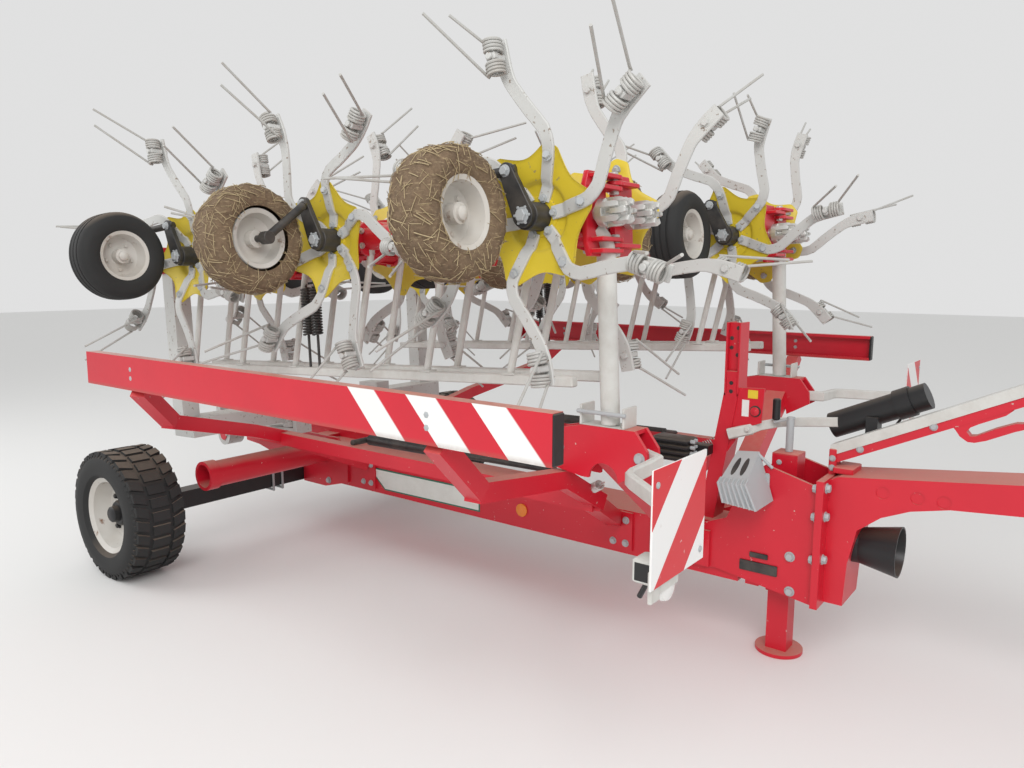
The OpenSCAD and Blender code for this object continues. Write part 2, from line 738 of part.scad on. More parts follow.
module place_wheel(c, i) {
    col = COLUMNS[c];
    w = tyre_w / 2;
    r = tyre_r;
    rim = 102;
    column(col[1], col[2]) translate([rotor_xs[i] - wheel_side, -wheel_out, rotor_z])
        rotate([0, i == 1 ? -90 : 90, 0]) {
            color(dark) rotate_extrude($fn = 72) polygon([[rim, -w + 15], [rim + 14, -w + 2], [r - 38, -w],
                [r - 10, -w + 18], [r, -w + 42], [r, w - 42], [r - 10, w - 18], [r - 38, w],
                [rim + 14, w - 2], [rim, w - 15]]);
            color(zinc) rotate_extrude($fn = 72) polygon([[spindle_d / 2 + fit, -50], [34, -50], [34, -6],
                [85, -20], [90, -w + 15], [rim, -w + 15], [rim, w - 15], [92, w - 15], [82, 10], [34, 20],
                [34, 45], [spindle_d / 2 + fit, 45]]);
        }
}

placed() main_beam();
placed() rear_bracket();
placed() front_box();
placed() drawbar();
placed() hitch_eye();
placed() gearbox_cover();
placed() jack_tube();
placed() jack_leg();
placed() axle_beam();
placed() tower();
placed() chocks();
placed() link_arm();
placed() document_tube();
placed() tilt_frame();
for (s = SIDES) {
    placed() cross_tube(s[1]);
    placed() road_wheel(s[1]);
    placed() side_panel(s[1]);
    placed() panel_carrier(s[1]);
    placed() cradle(s[1]);
    placed() warning_board(s[1]);
    placed() wing_arm(s[1]);
}
for (c = [0:3]) {
    placed() toolbar(COLUMNS[c][1], COLUMNS[c][2]);
    for (i = [0:2]) {
        placed() place_rotor(c, i);
        placed() place_wheel(c, i);
    }
}
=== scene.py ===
import json
import random
from contextlib import contextmanager
from math import cos, degrees, pi, radians, sin, sqrt, tau

import bmesh
import bpy
from mathutils import Matrix, Vector, noise


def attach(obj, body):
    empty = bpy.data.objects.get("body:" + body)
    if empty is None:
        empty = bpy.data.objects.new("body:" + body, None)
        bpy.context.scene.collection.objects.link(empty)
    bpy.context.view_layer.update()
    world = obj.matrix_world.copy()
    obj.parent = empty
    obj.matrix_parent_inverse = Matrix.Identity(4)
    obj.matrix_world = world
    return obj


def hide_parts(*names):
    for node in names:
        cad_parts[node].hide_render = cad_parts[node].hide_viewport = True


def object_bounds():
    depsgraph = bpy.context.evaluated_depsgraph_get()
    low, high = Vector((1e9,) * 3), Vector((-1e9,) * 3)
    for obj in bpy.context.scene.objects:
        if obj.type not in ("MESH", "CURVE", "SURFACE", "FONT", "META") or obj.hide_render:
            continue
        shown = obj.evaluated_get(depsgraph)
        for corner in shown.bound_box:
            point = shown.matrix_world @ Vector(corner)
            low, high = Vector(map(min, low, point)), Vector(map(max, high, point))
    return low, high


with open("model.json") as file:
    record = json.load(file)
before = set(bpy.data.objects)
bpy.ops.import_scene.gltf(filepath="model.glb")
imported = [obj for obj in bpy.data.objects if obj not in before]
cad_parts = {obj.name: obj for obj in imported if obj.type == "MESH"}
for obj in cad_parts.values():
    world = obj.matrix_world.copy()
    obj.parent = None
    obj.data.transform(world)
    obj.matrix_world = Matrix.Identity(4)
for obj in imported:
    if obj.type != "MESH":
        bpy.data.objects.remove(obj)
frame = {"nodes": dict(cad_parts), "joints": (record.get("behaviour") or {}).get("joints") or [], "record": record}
cad_low, cad_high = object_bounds()
nodes = frame["nodes"]
joints = {joint["name"]: joint for joint in frame["joints"]}
mounts = {mount["name"]: mount for mount in frame["record"]["mounts"]}
# Most places below are taken from the front end of the side panels, as in the CAD source,
# where the hitch eye stands 2.3 m further ahead.
ahead = mounts["hitch_eye"]["pos_m"][0] - 2.3
DRAWN = Matrix.Translation((ahead, 0, 0))


# Camera: stands at the machine's front right, at head height, as the photograph was taken.
# Its place, turns and lens were fitted to the side panels, the jack and the wheels.
def new_object(name, data):
    made = bpy.data.objects.new(name, data)
    bpy.context.scene.collection.objects.link(made)
    return made


def shift(x, y, z):
    return Matrix.Translation((x, y, z))


def rotate(degrees, axis):
    return Matrix.Rotation(radians(degrees), 4, axis)


def make_camera():
    sensor_mm, photo_px, focal_px = 36.0, 1024, 790.0
    heading, dip, roll = 127.44, 8.02, 0.22
    data = bpy.data.cameras.new("camera")
    data.sensor_width = sensor_mm
    data.lens = focal_px / photo_px * sensor_mm
    data.clip_end = 100
    camera = new_object("camera", data)
    camera.matrix_world = (shift(1.0263 + ahead, -2.9959, 1.4743) @ rotate(heading - 90, "Z")
                           @ rotate(90 - dip, "X") @ rotate(roll, "Z"))
    bpy.context.scene.camera = camera


make_camera()


# Studio: a pale floor, a soft white sky and two large lights on the near side.
# View transform Standard keeps the paint colours as they are set.
def make_studio():
    bpy.ops.mesh.primitive_plane_add(size=60, location=(0, 0, -0.001))
    floor = bpy.context.object
    floor.name = "floor"
    data = bpy.data.materials.new("floor")
    data.use_nodes = True
    matt = data.node_tree.nodes["Principled BSDF"].inputs
    matt["Base Color"].default_value = (0.78, 0.78, 0.77, 1)
    matt["Roughness"].default_value = 0.9
    floor.data.materials.append(data)
    world = bpy.data.worlds.new("world")
    world.use_nodes = True
    sky = world.node_tree.nodes["Background"].inputs
    sky["Color"].default_value = (1, 1, 1, 1)
    sky["Strength"].default_value = 0.75
    bpy.context.scene.world = world
    aim = Vector((-0.6, 0, 0.8))
    for place, power, size in (((3, -5, 5), 260, 3.5), ((-6, -4, 4), 120, 4.0)):
        light = bpy.data.lights.new("light", "AREA")
        light.energy = power
        light.size = size
        lamp = new_object("light", light)
        lamp.location = place
        lamp.rotation_euler = (aim - Vector(place)).to_track_quat("-Z", "Y").to_euler()
    bpy.context.scene.view_settings.view_transform = "Standard"


make_studio()


# Paint: gloss machine paint with dust on what faces up, faint clouding and small chips.
# Shader maths is written as plain expressions of Sock; add_node makes every other node.
def add_node(tree, kind, inputs=None, **settings):
    """A node of one kind; its inputs go by name or number and are values or links."""
    made = tree.nodes.new(kind)
    for key, value in settings.items():
        setattr(made, key, value)
    for key, value in (inputs or {}).items():
        value = getattr(value, "socket", value)
        if isinstance(value, bpy.types.NodeSocket):
            tree.links.new(value, made.inputs[key])
        else:
            made.inputs[key].default_value = value
    return made


class Sock:
    def __init__(self, tree, socket):
        self.tree = tree
        self.socket = socket

    def maths(self, kind, *values):
        node = add_node(self.tree, "ShaderNodeMath", dict(enumerate(values)), operation=kind)
        return Sock(self.tree, node.outputs[0])

    def __add__(self, other):
        return self.maths("ADD", self, other)

    def __sub__(self, other):
        return self.maths("SUBTRACT", self, other)

    def __rsub__(self, other):
        return self.maths("SUBTRACT", other, self)

    def __mul__(self, other):
        return self.maths("MULTIPLY", self, other)

    def __truediv__(self, other):
        return self.maths("DIVIDE", self, other)

    def __abs__(self):
        return self.maths("ABSOLUTE", self)

    __radd__ = __add__
    __rmul__ = __mul__

    def fraction(self):
        return self - self.maths("FLOOR", self)

    def above(self, edge, soft=0.05):
        """0 below the edge and 1 above it, with a soft step."""
        ramp = (self - (edge - soft)) / (2 * soft)
        return self.maths("MINIMUM", self.maths("MAXIMUM", ramp, 0.0), 1.0)

    def below(self, edge, soft=0.05):
        return 1.0 - self.above(edge, soft)


class Shader:
    """One Principled material and short calls for its nodes."""

    def __init__(self, name, rough=0.5, metal=0.0):
        self.mat = bpy.data.materials.new(name)
        self.mat.use_nodes = True
        self.tree = self.mat.node_tree
        self.bsdf = self.tree.nodes["Principled BSDF"].inputs
        self.bsdf["Roughness"].default_value = rough
        self.bsdf["Metallic"].default_value = metal
        self.place = self.sock("ShaderNodeTexCoord", output="Object")

    def sock(self, kind, inputs=None, output=0, **settings):
        return Sock(self.tree, add_node(self.tree, kind, inputs, **settings).outputs[output])

    def xyz(self):
        parts = add_node(self.tree, "ShaderNodeSeparateXYZ", {0: self.place})
        return [Sock(self.tree, part) for part in parts.outputs]

    def normal_z(self):
        normal = self.sock("ShaderNodeNewGeometry", output="Normal")
        return self.sock("ShaderNodeSeparateXYZ", {0: normal}, 2)

    def noise(self, scale, detail=4.0, rough=0.6, stretch=None):
        place = self.place
        if stretch:
            place = self.sock("ShaderNodeMapping", {"Vector": place, "Scale": stretch})
        return self.sock("ShaderNodeTexNoise",
                         {"Vector": place, "Scale": scale, "Detail": detail, "Roughness": rough})

    def mix(self, factor, low, high):
        """Blends two colours, each a plain tint or a socket."""
        low, high = (tint if isinstance(tint, Sock) else (*tint, 1) for tint in (low, high))
        return self.sock("ShaderNodeMix", {0: factor, 6: low, 7: high}, 2, data_type="RGBA")

    def colour(self, sock):
        self.tree.links.new(sock.socket, self.bsdf["Base Color"])

    def rough(self, sock):
        self.tree.links.new(sock.socket, self.bsdf["Roughness"])

    def bump(self, height, strength, distance):
        bumps = self.sock("ShaderNodeBump", {"Height": height, "Strength": strength, "Distance": distance})
        self.tree.links.new(bumps.socket, self.bsdf["Normal"])


def paint(name, base, dust=0.5, chips=0.0, rough=0.32, under=(0.35, 0.3, 0.27)):
    s = Shader(name, rough)
    cloud = s.noise(3.0)
    fine = s.noise(38.0, 6.0)
    up = s.normal_z().above(0.75, 0.2)
    dusty = up * dust * (fine * 0.7 + 0.55)
    tint = s.mix(cloud.above(0.55, 0.3), base, tuple(c * 0.86 for c in base))
    tint = s.mix(dusty, tint, (0.47, 0.36, 0.27))
    if chips:
        spots = s.noise(60.0, 3.0).above(0.8 - chips * 0.12, 0.02)
        tint = s.mix(spots, tint, under)
    s.colour(tint)
    s.rough(dusty * 0.5 + cloud * 0.15 + (rough - 0.05))
    s.bump(fine, 0.08, 0.001)
    return s.mat


red = paint("red_paint", (0.62, 0.012, 0.03), dust=0.55, chips=0.6, under=(0.55, 0.45, 0.4))
grey = paint("grey_paint", (0.55, 0.55, 0.53), dust=0.25, chips=1.2, rough=0.45, under=(0.25, 0.2, 0.16))
black = paint("black_paint", (0.012, 0.012, 0.013), dust=0.15, rough=0.4, under=(0.1, 0.1, 0.1))
yellow = paint("yellow_paint", (0.66, 0.5, 0.03), dust=0.15, chips=0.9, rough=0.42, under=(0.3, 0.24, 0.12))
board = paint("board_white", (0.8, 0.8, 0.8), dust=0.05, rough=0.4)
tyre = paint("tyre_rubber", (0.02, 0.02, 0.02), dust=0.3, rough=0.75)
zinc = paint("galvanised", (0.42, 0.44, 0.45), dust=0.1, rough=0.45)

LOOKS = {"red_paint": red, "grey_paint": grey, "black_paint": black, "yellow_paint": yellow,
         "board_white": board, "tyre_rubber": tyre, "galvanised": zinc, "black_plastic": black}
for part in frame["record"]["subparts"]:
    shown = nodes[part["node"]]
    shown.data.materials.clear()
    shown.data.materials.append(LOOKS[part["material_slot"]])


# Mesh maker: pieces are gathered as points and faces, then turned into one smooth-edged object.
# Points are in metres in the row's own frame, so every object stays at the origin.
SHARP = radians(40)


def spokes(count, offset=0.0):
    """Cosine and sine of equally spaced angles round a full turn."""
    angles = (tau * (k + offset) / count for k in range(count))
    return [(cos(a), sin(a)) for a in angles]


def along(path):
    """Each point of a path, with the way from the point before it to the one after."""
    path = [Vector(point) for point in path]
    for before, here, after in zip(path[:1] + path, path, path[1:] + path[-1:]):
        yield here, after - before


def facing(spot, way):
    """The moves that bring the origin to a spot and turn +Z along a way."""
    return Matrix.Translation(Vector(spot)), way.to_track_quat("Z", "Y").to_matrix().to_4x4()


def drawn_in(outline, inset):
    """An outline with its points moved towards its middle."""
    centre = sum(outline, Vector()) / len(outline)
    return [centre + (p - centre) * (1 - inset / (p - centre).length) for p in outline]


class Piece:
    def __init__(self, name, place=DRAWN):
        self.name = name
        self.mesh = bmesh.new()
        self.place = place.copy()
        self.slot = 0

    @contextmanager
    def moved(self, *steps):
        """What is drawn inside it gets these further moves."""
        keep = self.place
        for step in steps:
            self.place = self.place @ step
        yield
        self.place = keep

    def add(self, points, faces):
        verts = [self.mesh.verts.new(self.place @ Vector(p)) for p in points]
        for face in faces:
            self.mesh.faces.new([verts[i] for i in face]).material_index = self.slot

    def loft(self, rings, loop=False):
        """Joins rings of equally many points; the ends are closed unless they meet."""
        size = len(rings[0])
        count = len(rings)
        faces = []
        for i in range(count if loop else count - 1):
            j = (i + 1) % count
            for k in range(size):
                m = (k + 1) % size
                faces.append((i * size + k, i * size + m, j * size + m, j * size + k))
        if not loop:
            faces.append(tuple(range(size - 1, -1, -1)))
            faces.append(tuple((count - 1) * size + k for k in range(size)))
        self.add([p for ring in rings for p in ring], faces)

    def tube(self, path, radius, sides):
        """A round tube along points."""
        rings = []
        side = None
        for here, way in along(path):
            way.normalize()
            if side is None:
                side = way.orthogonal()
            side = (side - way * side.dot(way)).normalized()
            other = way.cross(side)
            rings.append([here + side * (radius * c) + other * (radius * s) for c, s in spokes(sides)])
        self.loft(rings)

    def strip(self, path, across, width, thick):
        """A flat bar along points; the way of its width, and its width, may be lists."""
        rings = []
        for i, (here, way) in enumerate(along(path)):
            way.normalize()
            wide = Vector(across[i] if isinstance(across, list) else across)
            wide = (wide - way * wide.dot(way)).normalized()
            up = way.cross(wide)
            w = (width[i] if isinstance(width, list) else width) / 2
            t = thick / 2
            c = min(w, t) * 0.45
            outline = [(-w + c, -t), (w - c, -t), (w, -t + c), (w, t - c), (w - c, t), (-w + c, t),
                       (-w, t - c), (-w, -t + c)]
            rings.append([here + wide * a + up * b for a, b in outline])
        self.loft(rings)

    def skin(self, points, sides, loop=False):
        """Faces between the equal rows of points that stand round an axis."""
        count = len(points) // sides
        faces = []
        for i in range(sides):
            j = (i + 1) % sides
            for k in range(count if loop else count - 1):
                m = (k + 1) % count
                faces.append((i * count + k, j * count + k, j * count + m, i * count + m))
        self.add(points, faces)

    def lathe(self, profile, sides, loop=False):
        """Turns (radius, height) points about the local Z axis."""
        self.skin([(r * c, r * s, z) for c, s in spokes(sides) for r, z in profile], sides, loop)

    def turned(self, start, end, profile, sides):
        """Turns (radius, distance) points about the line from start to end."""
        with self.moved(*facing(start, Vector(end) - Vector(start))):
            self.lathe(profile, sides)

    def rod(self, start, end, radius, sides, chamfer=0.002):
        """A plain round bar with chamfered ends."""
        long = (Vector(end) - Vector(start)).length
        c = min(chamfer, radius / 3)
        self.turned(start, end, [(0, 0), (radius - c, 0), (radius, c), (radius, long - c),
                                 (radius - c, long), (0, long)], sides)

    def coil(self, start, end, radius, wire, turns):
        """A helical spring between two points."""
        way = Vector(end) - Vector(start)
        steps = int(turns * 16)
        path = []
        for k in range(steps + 1):
            a = tau * turns * k / steps
            path.append((radius * cos(a), radius * sin(a), way.length * k / steps))
        with self.moved(*facing(start, way)):
            self.tube(path, wire, 6)

    def box(self, corner, opposite, bevel=0.0):
        """A box between two opposite corners, with chamfered edges."""
        (x0, x1), (y0, y1), (z0, z1) = (sorted(pair) for pair in zip(corner, opposite))
        b = min(bevel, (x1 - x0) / 3, (y1 - y0) / 3, (z1 - z0) / 3)
        rings = []
        for z, inset in ((z0, b), (z0 + b, 0), (z1 - b, 0), (z1, b)) if b else ((z0, 0), (z1, 0)):
            w, s, e, n = x0 + inset, y0 + inset, x1 - inset, y1 - inset
            if b:
                rings.append([(w + b, s, z), (e - b, s, z), (e, s + b, z), (e, n - b, z),
                              (e - b, n, z), (w + b, n, z), (w, n - b, z), (w, s + b, z)])
            else:
                rings.append([(w, s, z), (e, s, z), (e, n, z), (w, n, z)])
        self.loft(rings)

    def plate(self, outline, thick):
        """A flat plate in local XY from 0 to its thickness, with a chamfer."""
        bevel = 0.002
        outline = [Vector((*p, 0)) for p in outline]
        self.loft([[p + Vector((0, 0, z)) for p in drawn_in(outline, inset)]
                   for z, inset in ((0, bevel), (bevel, 0), (thick - bevel, 0), (thick, bevel))])

    def hex(self, centre, axis, across, high, washer=True):
        """A bolt head, with a washer under it unless it is small."""
        r = across / sqrt(3)
        with self.moved(*facing(centre, Vector(axis).normalized())):
            self.loft([[(radius * c, radius * s, z) for c, s in spokes(6)]
                       for radius, z in ((r, 0), (r, high * 0.8), (r * 0.86, high))])
            if washer:
                self.lathe([(0, 0.0025), (r * 1.25, 0.0025), (r * 1.3, 0)], 14)

    def done(self, body, *mats, hides=()):
        """Writes the object, shades it and rides it on its body."""
        bmesh.ops.recalc_face_normals(self.mesh, faces=self.mesh.faces)
        data = bpy.data.meshes.new(self.name)
        self.mesh.to_mesh(data)
        self.mesh.free()
        for mat in mats:
            data.materials.append(mat)
        data.polygons.foreach_set("use_smooth", [True] * len(data.polygons))
        data.set_sharp_from_angle(angle=SHARP)
        shown = new_object(self.name, data)
        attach(shown, body)
        if hides:
            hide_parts(*hides)
        return shown


# Columns of rotors: a and b belong to the right wing, c and d to the left; b and c face the middle.
# Each is drawn as the near outer one, leaned with the wing and mirrored to its place.
ROTOR_XS = (-0.39, -1.38, -2.37)
AXLE_Z = 1.503
DISC_Y = -0.98
FOLD_Y = -0.765
FLIP = Matrix.Scale(-1, 4, (0, 1, 0))


def column(letter):
    pivot = shift(*joints["tilt_lift"]["pos_m"])
    place = pivot @ rotate(-3, "Y") @ pivot.inverted() @ DRAWN
    if letter in "cd":
        place = place @ FLIP
    if letter in "bc":
        fold = shift(0, FOLD_Y, 0)
        place = place @ fold @ FLIP @ fold.inverted()
    return place


# Star disc: a dished six-point sheet with hollow edges, a stepped middle and a thin turned-down rim.
# Its reach is greatest over a blunt point and falls in a curve to the middle between two.
def star_reach(angle):
    off = abs((degrees(angle) + 30) % 60 - 30)
    return 0.222 if off < 6.5 else 0.178 + 0.044 * ((30 - off) / 23.5) ** 2


def star_disc(piece):
    sides, shoulder, top, slope, thick = 144, 0.122, 0.036, 0.322, 0.005
    step = [(0.0455, 0.056), (0.096, 0.056), (0.103, 0.053), (0.108, 0.044), (0.114, 0.039), (shoulder, top)]
    rings = []
    for sunk in (0.0, thick):
        rings += [[(r * c, r * s, z - sunk) for c, s in spokes(sides)] for r, z in step]
        for share, drop in ((0.4, 0.0), (0.8, 0.0), (0.97, 0.0), (1.0, 0.0015)):
            ring = []
            for k in range(sides):
                a = tau * k / sides
                r = shoulder + (star_reach(a) - shoulder) * share
                ring.append((r * cos(a), r * sin(a), top - (r - shoulder) * slope - sunk - drop))
            rings.append(ring)
    half = len(rings) // 2
    piece.loft(rings[:half] + rings[half:][::-1], loop=True)
    piece.lathe([(0.0455, 0.046), (0.062, 0.046), (0.066, 0.052), (0.066, 0.066), (0.062, 0.069),
                 (0.0455, 0.069)], 40, loop=True)


# Rotor arms: flat bars bolted twice to the disc, sweeping back to the pad under the coils.
# Their points are a radius, the degrees of sweep and a height.
def rotor_arms(piece):
    points = [(0.052, 0, 0.046), (0.092, 0, 0.046), (0.1, 0, 0.044), (0.113, 0, 0.033), (0.122, 0, 0.027),
              (0.187, 0, 0.005), (0.215, 0.8, -0.005), (0.24, 3.6, -0.01), (0.262, 7, -0.012),
              (0.292, 14, -0.016), (0.31, 17.6, -0.018), (0.33, 20.5, -0.02), (0.35, 23, -0.022),
              (0.37, 25, -0.024), (0.39, 26.8, -0.026), (0.41, 28, -0.028), (0.444, 29, -0.031),
              (0.486, 29.4, -0.033), (0.53, 29.5, -0.035)]
    path = [Vector((r * cos(radians(-a)), r * sin(radians(-a)), z)) for r, a, z in points]
    widths = [0.042] * 15 + [0.044, 0.05, 0.053, 0.051]
    across = [Vector((-way.y, way.x, 0)) for _, way in along(path)]
    for k in range(6):
        with piece.moved(Matrix.Rotation(tau * k / 6, 4, "Z")):
            piece.slot = 0
            piece.strip(path, across, widths, 0.012)
            piece.slot = 1
            piece.hex((0.058, 0, 0.04), (0, 0, -1), 0.019, 0.01)
            piece.hex((0.187, 0, -0.001), (0.3, 0, -1), 0.024, 0.013)
            piece.hex((0.187, 0, 0.016), (-0.3, 0, 1), 0.022, 0.014)


# Double spring tines: two coils lie along the arm's end with a bolted clamp between them.
# Their long wires leave side by side, lean back and outwards, and end inside the CAD part's top.
def rotor_tines(piece, rng):
    wire, coil, turns, steps, spare = 0.0048, 0.027, 3.75, 52, 0.008
    clamp = shift(0.474, 0, -0.0735)
    for i in range(6):
        lag = Matrix.Rotation(tau * i / 6 + radians(-29.5), 4, "Z")
        bend = rng.uniform(-0.008, 0.004)
        with piece.moved(lag, clamp):
            piece.slot = 0
            for side, tip in ((-1, (0.104, -0.062, -0.222)), (1, (0.184, -0.085, -0.205))):
                path = []
                for k in range(steps + 1):
                    t = k / steps
                    a = tau * turns * t + pi * 0.5
                    path.append((side * (0.014 + 0.038 * t), -coil * cos(a), coil * sin(a)))
                end = Vector(path[-1])
                tip = Vector(tip) + Vector((bend, bend, 0))
                while (piece.place @ tip).z > cad_high[2] - spare:
                    tip = tip.lerp(end, 0.04)
                leave = end + (tip - end).normalized() * 0.012 + Vector((0, 0, -0.004))
                path += [leave, leave.lerp(tip, 0.35), leave.lerp(tip, 0.7), tip]
                piece.tube(path, wire, 7)
            piece.slot = 1
            piece.box((-0.0105, -0.017, -0.021), (0.0105, 0.017, 0.034), 0.003)
            piece.rod((0, 0, -0.02), (0, 0, -0.032), 0.011, 14)
            piece.hex((0, 0, 0.046), (0, 0, 1), 0.022, 0.013)


# Rotors: disc, arms and tines at each of the twelve places, with plain finishes for their metal.
# The middle one of a column is mirrored, and turned so that its arms pass between the others' arms.
def flat_look(name, tint, rough=0.5, metal=0.0, wear=0.12):
    s = Shader(name, rough, metal)
    grime = s.noise(11.0, 5.0, 0.65)
    s.colour(s.mix(grime.above(0.58, 0.2) * wear, tint, (0.3, 0.25, 0.2)))
    s.rough(grime * 0.2 + (rough - 0.1))
    s.bump(s.noise(50.0, 5.0), 0.05, 0.001)
    return s.mat


def rotor_places():
    for letter in "abcd":
        for i, x in enumerate(ROTOR_XS):
            spin = (38 if i == 1 else -8) + (30 if letter in "cd" else 0)
            place = column(letter) @ shift(x, DISC_Y, AXLE_Z) @ rotate(-90, "X") @ rotate(spin, "Z")
            yield f"{letter}{i + 1}", place @ FLIP if i == 1 else place


def make_rotors():
    tine_steel = flat_look("tine_steel", (0.48, 0.48, 0.46), 0.5, 0.1, 0.5)
    rng = random.Random(4)
    for name, place in rotor_places():
        body = "rotor_" + name
        disc = Piece("disc_" + name, place)
        star_disc(disc)
        disc.done(body, yellow, hides=(body,))
        arms = Piece("arms_" + name, place)
        rotor_arms(arms)
        arms.done(body, grey, zinc)
        tines = Piece("tines_" + name, place)
        rotor_tines(tines, rng)
        tines.done(body, tine_steel, grey)


make_rotors()


# Toolbars: red tubes clamped to cast housings, with pin joints, drive claws, wheel legs and guards.
# The claws' two rings of fingers stand between one another, as they mesh when the wings unfold.
BAR_Y = -0.85
BAR_REAR = -2.74
BAR_FRONT = -0.25
HOUSING_END = 0.124
KNEE_END = 0.084
HINGE_X = -0.216
WHEEL_X = -0.11
WHEEL_Y = -1.235
pale = flat_look("pale_zinc", (0.6, 0.6, 0.57), 0.5, 0.0, 0.35)
steel = flat_look("bright_steel", (0.62, 0.62, 0.6), 0.35, 0.6, 0.3)
# Black iron for the legs, rods and covers; the same dark finish is the painted shade of the chock slots and the
# tower holes.
dark = flat_look("black_iron_and_painted_shade", (0.02, 0.02, 0.021), 0.5, 0.0, 0.25)


def gear_housing(piece, x):
    face = DISC_Y + 0.075
    z = AXLE_Z
    piece.turned((x, face, z), (x, 0, z), [
        (0, 0.002), (0.046, 0.002), (0.048, 0), (0.097, 0), (0.1, 0.003), (0.1, 0.013), (0.096, 0.016),
        (0.088, 0.016), (0.086, 0.02), (0.086, 0.086), (0.08, 0.093), (0.066, 0.096), (0.064, 0.108),
        (0.058, 0.112), (0.056, 0.126), (0.03, 0.128), (0, 0.128)], 56)
    rib = ((0.08, face + 0.014), (0.0975, face + 0.014), (0.09, face + 0.086), (0.062, face + 0.098))
    for c, s in spokes(12, 0.5):
        piece.add([(x + r * c - w * s, y, z + r * s + w * c) for r, y in rib for w in (-0.004, 0.004)],
                  [(0, 2, 3, 1), (2, 4, 5, 3), (4, 6, 7, 5), (6, 0, 1, 7), (0, 6, 4, 2), (1, 3, 5, 7)])
    for side in (-1, 1):
        near = x + side * 0.108
        piece.turned((near, BAR_Y, z), (near + side * 0.016, BAR_Y, z),
                     [(0, 0), (0.066, 0), (0.068, 0.002), (0.068, 0.014), (0.066, 0.016), (0, 0.016)], 40)
        piece.turned((x + side * 0.06, BAR_Y, z), (x + side * 0.11, BAR_Y, z),
                     [(0.056, 0), (0.056, 0.03), (0.062, 0.048)], 40)


def housing_bolts(piece, x):
    z = AXLE_Z
    for side in (-1, 1):
        for c, s in spokes(6, 0.5):
            piece.hex((x + side * HOUSING_END, BAR_Y + 0.056 * c, z + 0.056 * s), (side, 0, 0), 0.017, 0.01)
    for c, s in spokes(8):
        piece.hex((x + 0.091 * c, DISC_Y + 0.091, z + 0.091 * s), (0, 1, 0), 0.015, 0.009)


def pin_joint(piece, x):
    flange = [(-0.128, -0.034), (-0.128, 0.034), (-0.096, 0.052), (0.096, 0.052), (0.128, 0.034),
              (0.128, -0.034), (0.096, -0.052), (-0.096, -0.052)]
    for side in (-1, 1):
        with piece.moved(shift(x + side * 0.078 - 0.008, BAR_Y, AXLE_Z), rotate(90, "Y")):
            piece.plate(flange, 0.016)
        lug = [(side * 0.076, 0.04), (side * 0.076, -0.04)]
        lug += [(-side * 0.03 * cos(a), 0.03 * sin(a)) for a in
                (radians(-80 + 20 * k) for k in range(9))]
        for low in ((-0.118, -0.084, 0.07, 0.104) if side < 0 else (-0.101, 0.087)):
            with piece.moved(shift(x, BAR_Y, AXLE_Z + low)):
                piece.plate(lug, 0.014)


def claw(piece, x):
    """Hub with two rings of six square fingers, chamfered where they lead in."""
    z = AXLE_Z
    piece.turned((x - 0.052, BAR_Y, z), (x + 0.066, BAR_Y, z), [
        (0, 0), (0.024, 0), (0.024, 0.02), (0.042, 0.022), (0.044, 0.024), (0.044, 0.046), (0.042, 0.048),
        (0.026, 0.05), (0.024, 0.054), (0.024, 0.112), (0.02, 0.118), (0.014, 0.118), (0.012, 0.108),
        (0, 0.108)], 36)
    inner, outer = (-0.008, 0.05, 0.022, 0.044, 0.01), (0.024, 0.076, 0.02, 0.04, 0.008)
    for k in range(12):
        start, end, low, high, w = outer if k % 2 else inner
        with piece.moved(shift(x, BAR_Y, z), Matrix.Rotation(tau * k / 12, 4, "X")):
            piece.loft([[(px, -w + i, low), (px, w - i, low), (px, w - i, high - i), (px, -w + i, high - i)]
                        for px, i in ((start, 0), (end - 0.008, 0), (end, 0.004))])


def wheel_leg(piece, x, side):
    """A plate on the rotor's axle and a bent tube from it to the axle of the wheel."""
    z = AXLE_Z
    near = DISC_Y - 0.024
    leg_x = x + WHEEL_X + side * 0.105
    hub, eye = Vector((x, near, z)), Vector((x - 0.06, near, z + 0.14))
    top = eye - Vector((0, 0.011, 0))
    bend = Vector((leg_x, DISC_Y - 0.09, z + 0.12))
    foot = Vector((leg_x, WHEEL_Y, z))
    up = Vector((-0.06, 0, 0.14)).normalized()
    across = Vector((-up.z, 0, up.x))
    rings = []
    for y, c in ((0, 0.002), (-0.002, 0), (-0.02, 0), (-0.022, 0.002)):
        ring = []
        for centre, radius, start in ((hub, 0.038 - c, 180), (eye, 0.026 - c, 0)):
            for k in range(13):
                a = radians(start + 180 * k / 12)
                ring.append(centre + across * (-radius * cos(a)) + up * (radius * sin(a))
                            + Vector((0, y, 0)))
        rings.append(ring)
    piece.loft(rings)
    piece.rod(hub + Vector((0, 0.1, 0)), hub + Vector((0, -0.004, 0)), 0.0445, 36)
    path = [top + (top - bend).normalized() * 0.03, top, top.lerp(bend, 0.45), top.lerp(bend, 0.8)]
    before, after = bend - (bend - top).normalized() * 0.028, bend + (foot - bend).normalized() * 0.028
    for t in (0.0, 0.25, 0.5, 0.75, 1.0):
        path.append(before * (1 - t) ** 2 + bend * (2 * t * (1 - t)) + after * t ** 2)
    path += [bend.lerp(foot, 0.5), foot]
    piece.tube(path, 0.0155, 16)
    piece.rod((leg_x - 0.02, WHEEL_Y, z), (leg_x + 0.02, WHEEL_Y, z), 0.0235, 28)
    piece.rod((leg_x, WHEEL_Y, z), (x + WHEEL_X - side * 0.055, WHEEL_Y, z), 0.0124, 20)


def leg_bolts(piece, x):
    z = AXLE_Z
    near = DISC_Y - 0.046
    piece.hex((x, near, z), (0, -1, 0), 0.034, 0.014)
    for c, s in spokes(6):
        piece.hex((x + 0.027 * c, near, z + 0.027 * s), (0, -1, 0), 0.008, 0.004, False)
    piece.hex((x - 0.06, near, z + 0.14), (0, -1, 0), 0.026, 0.013)


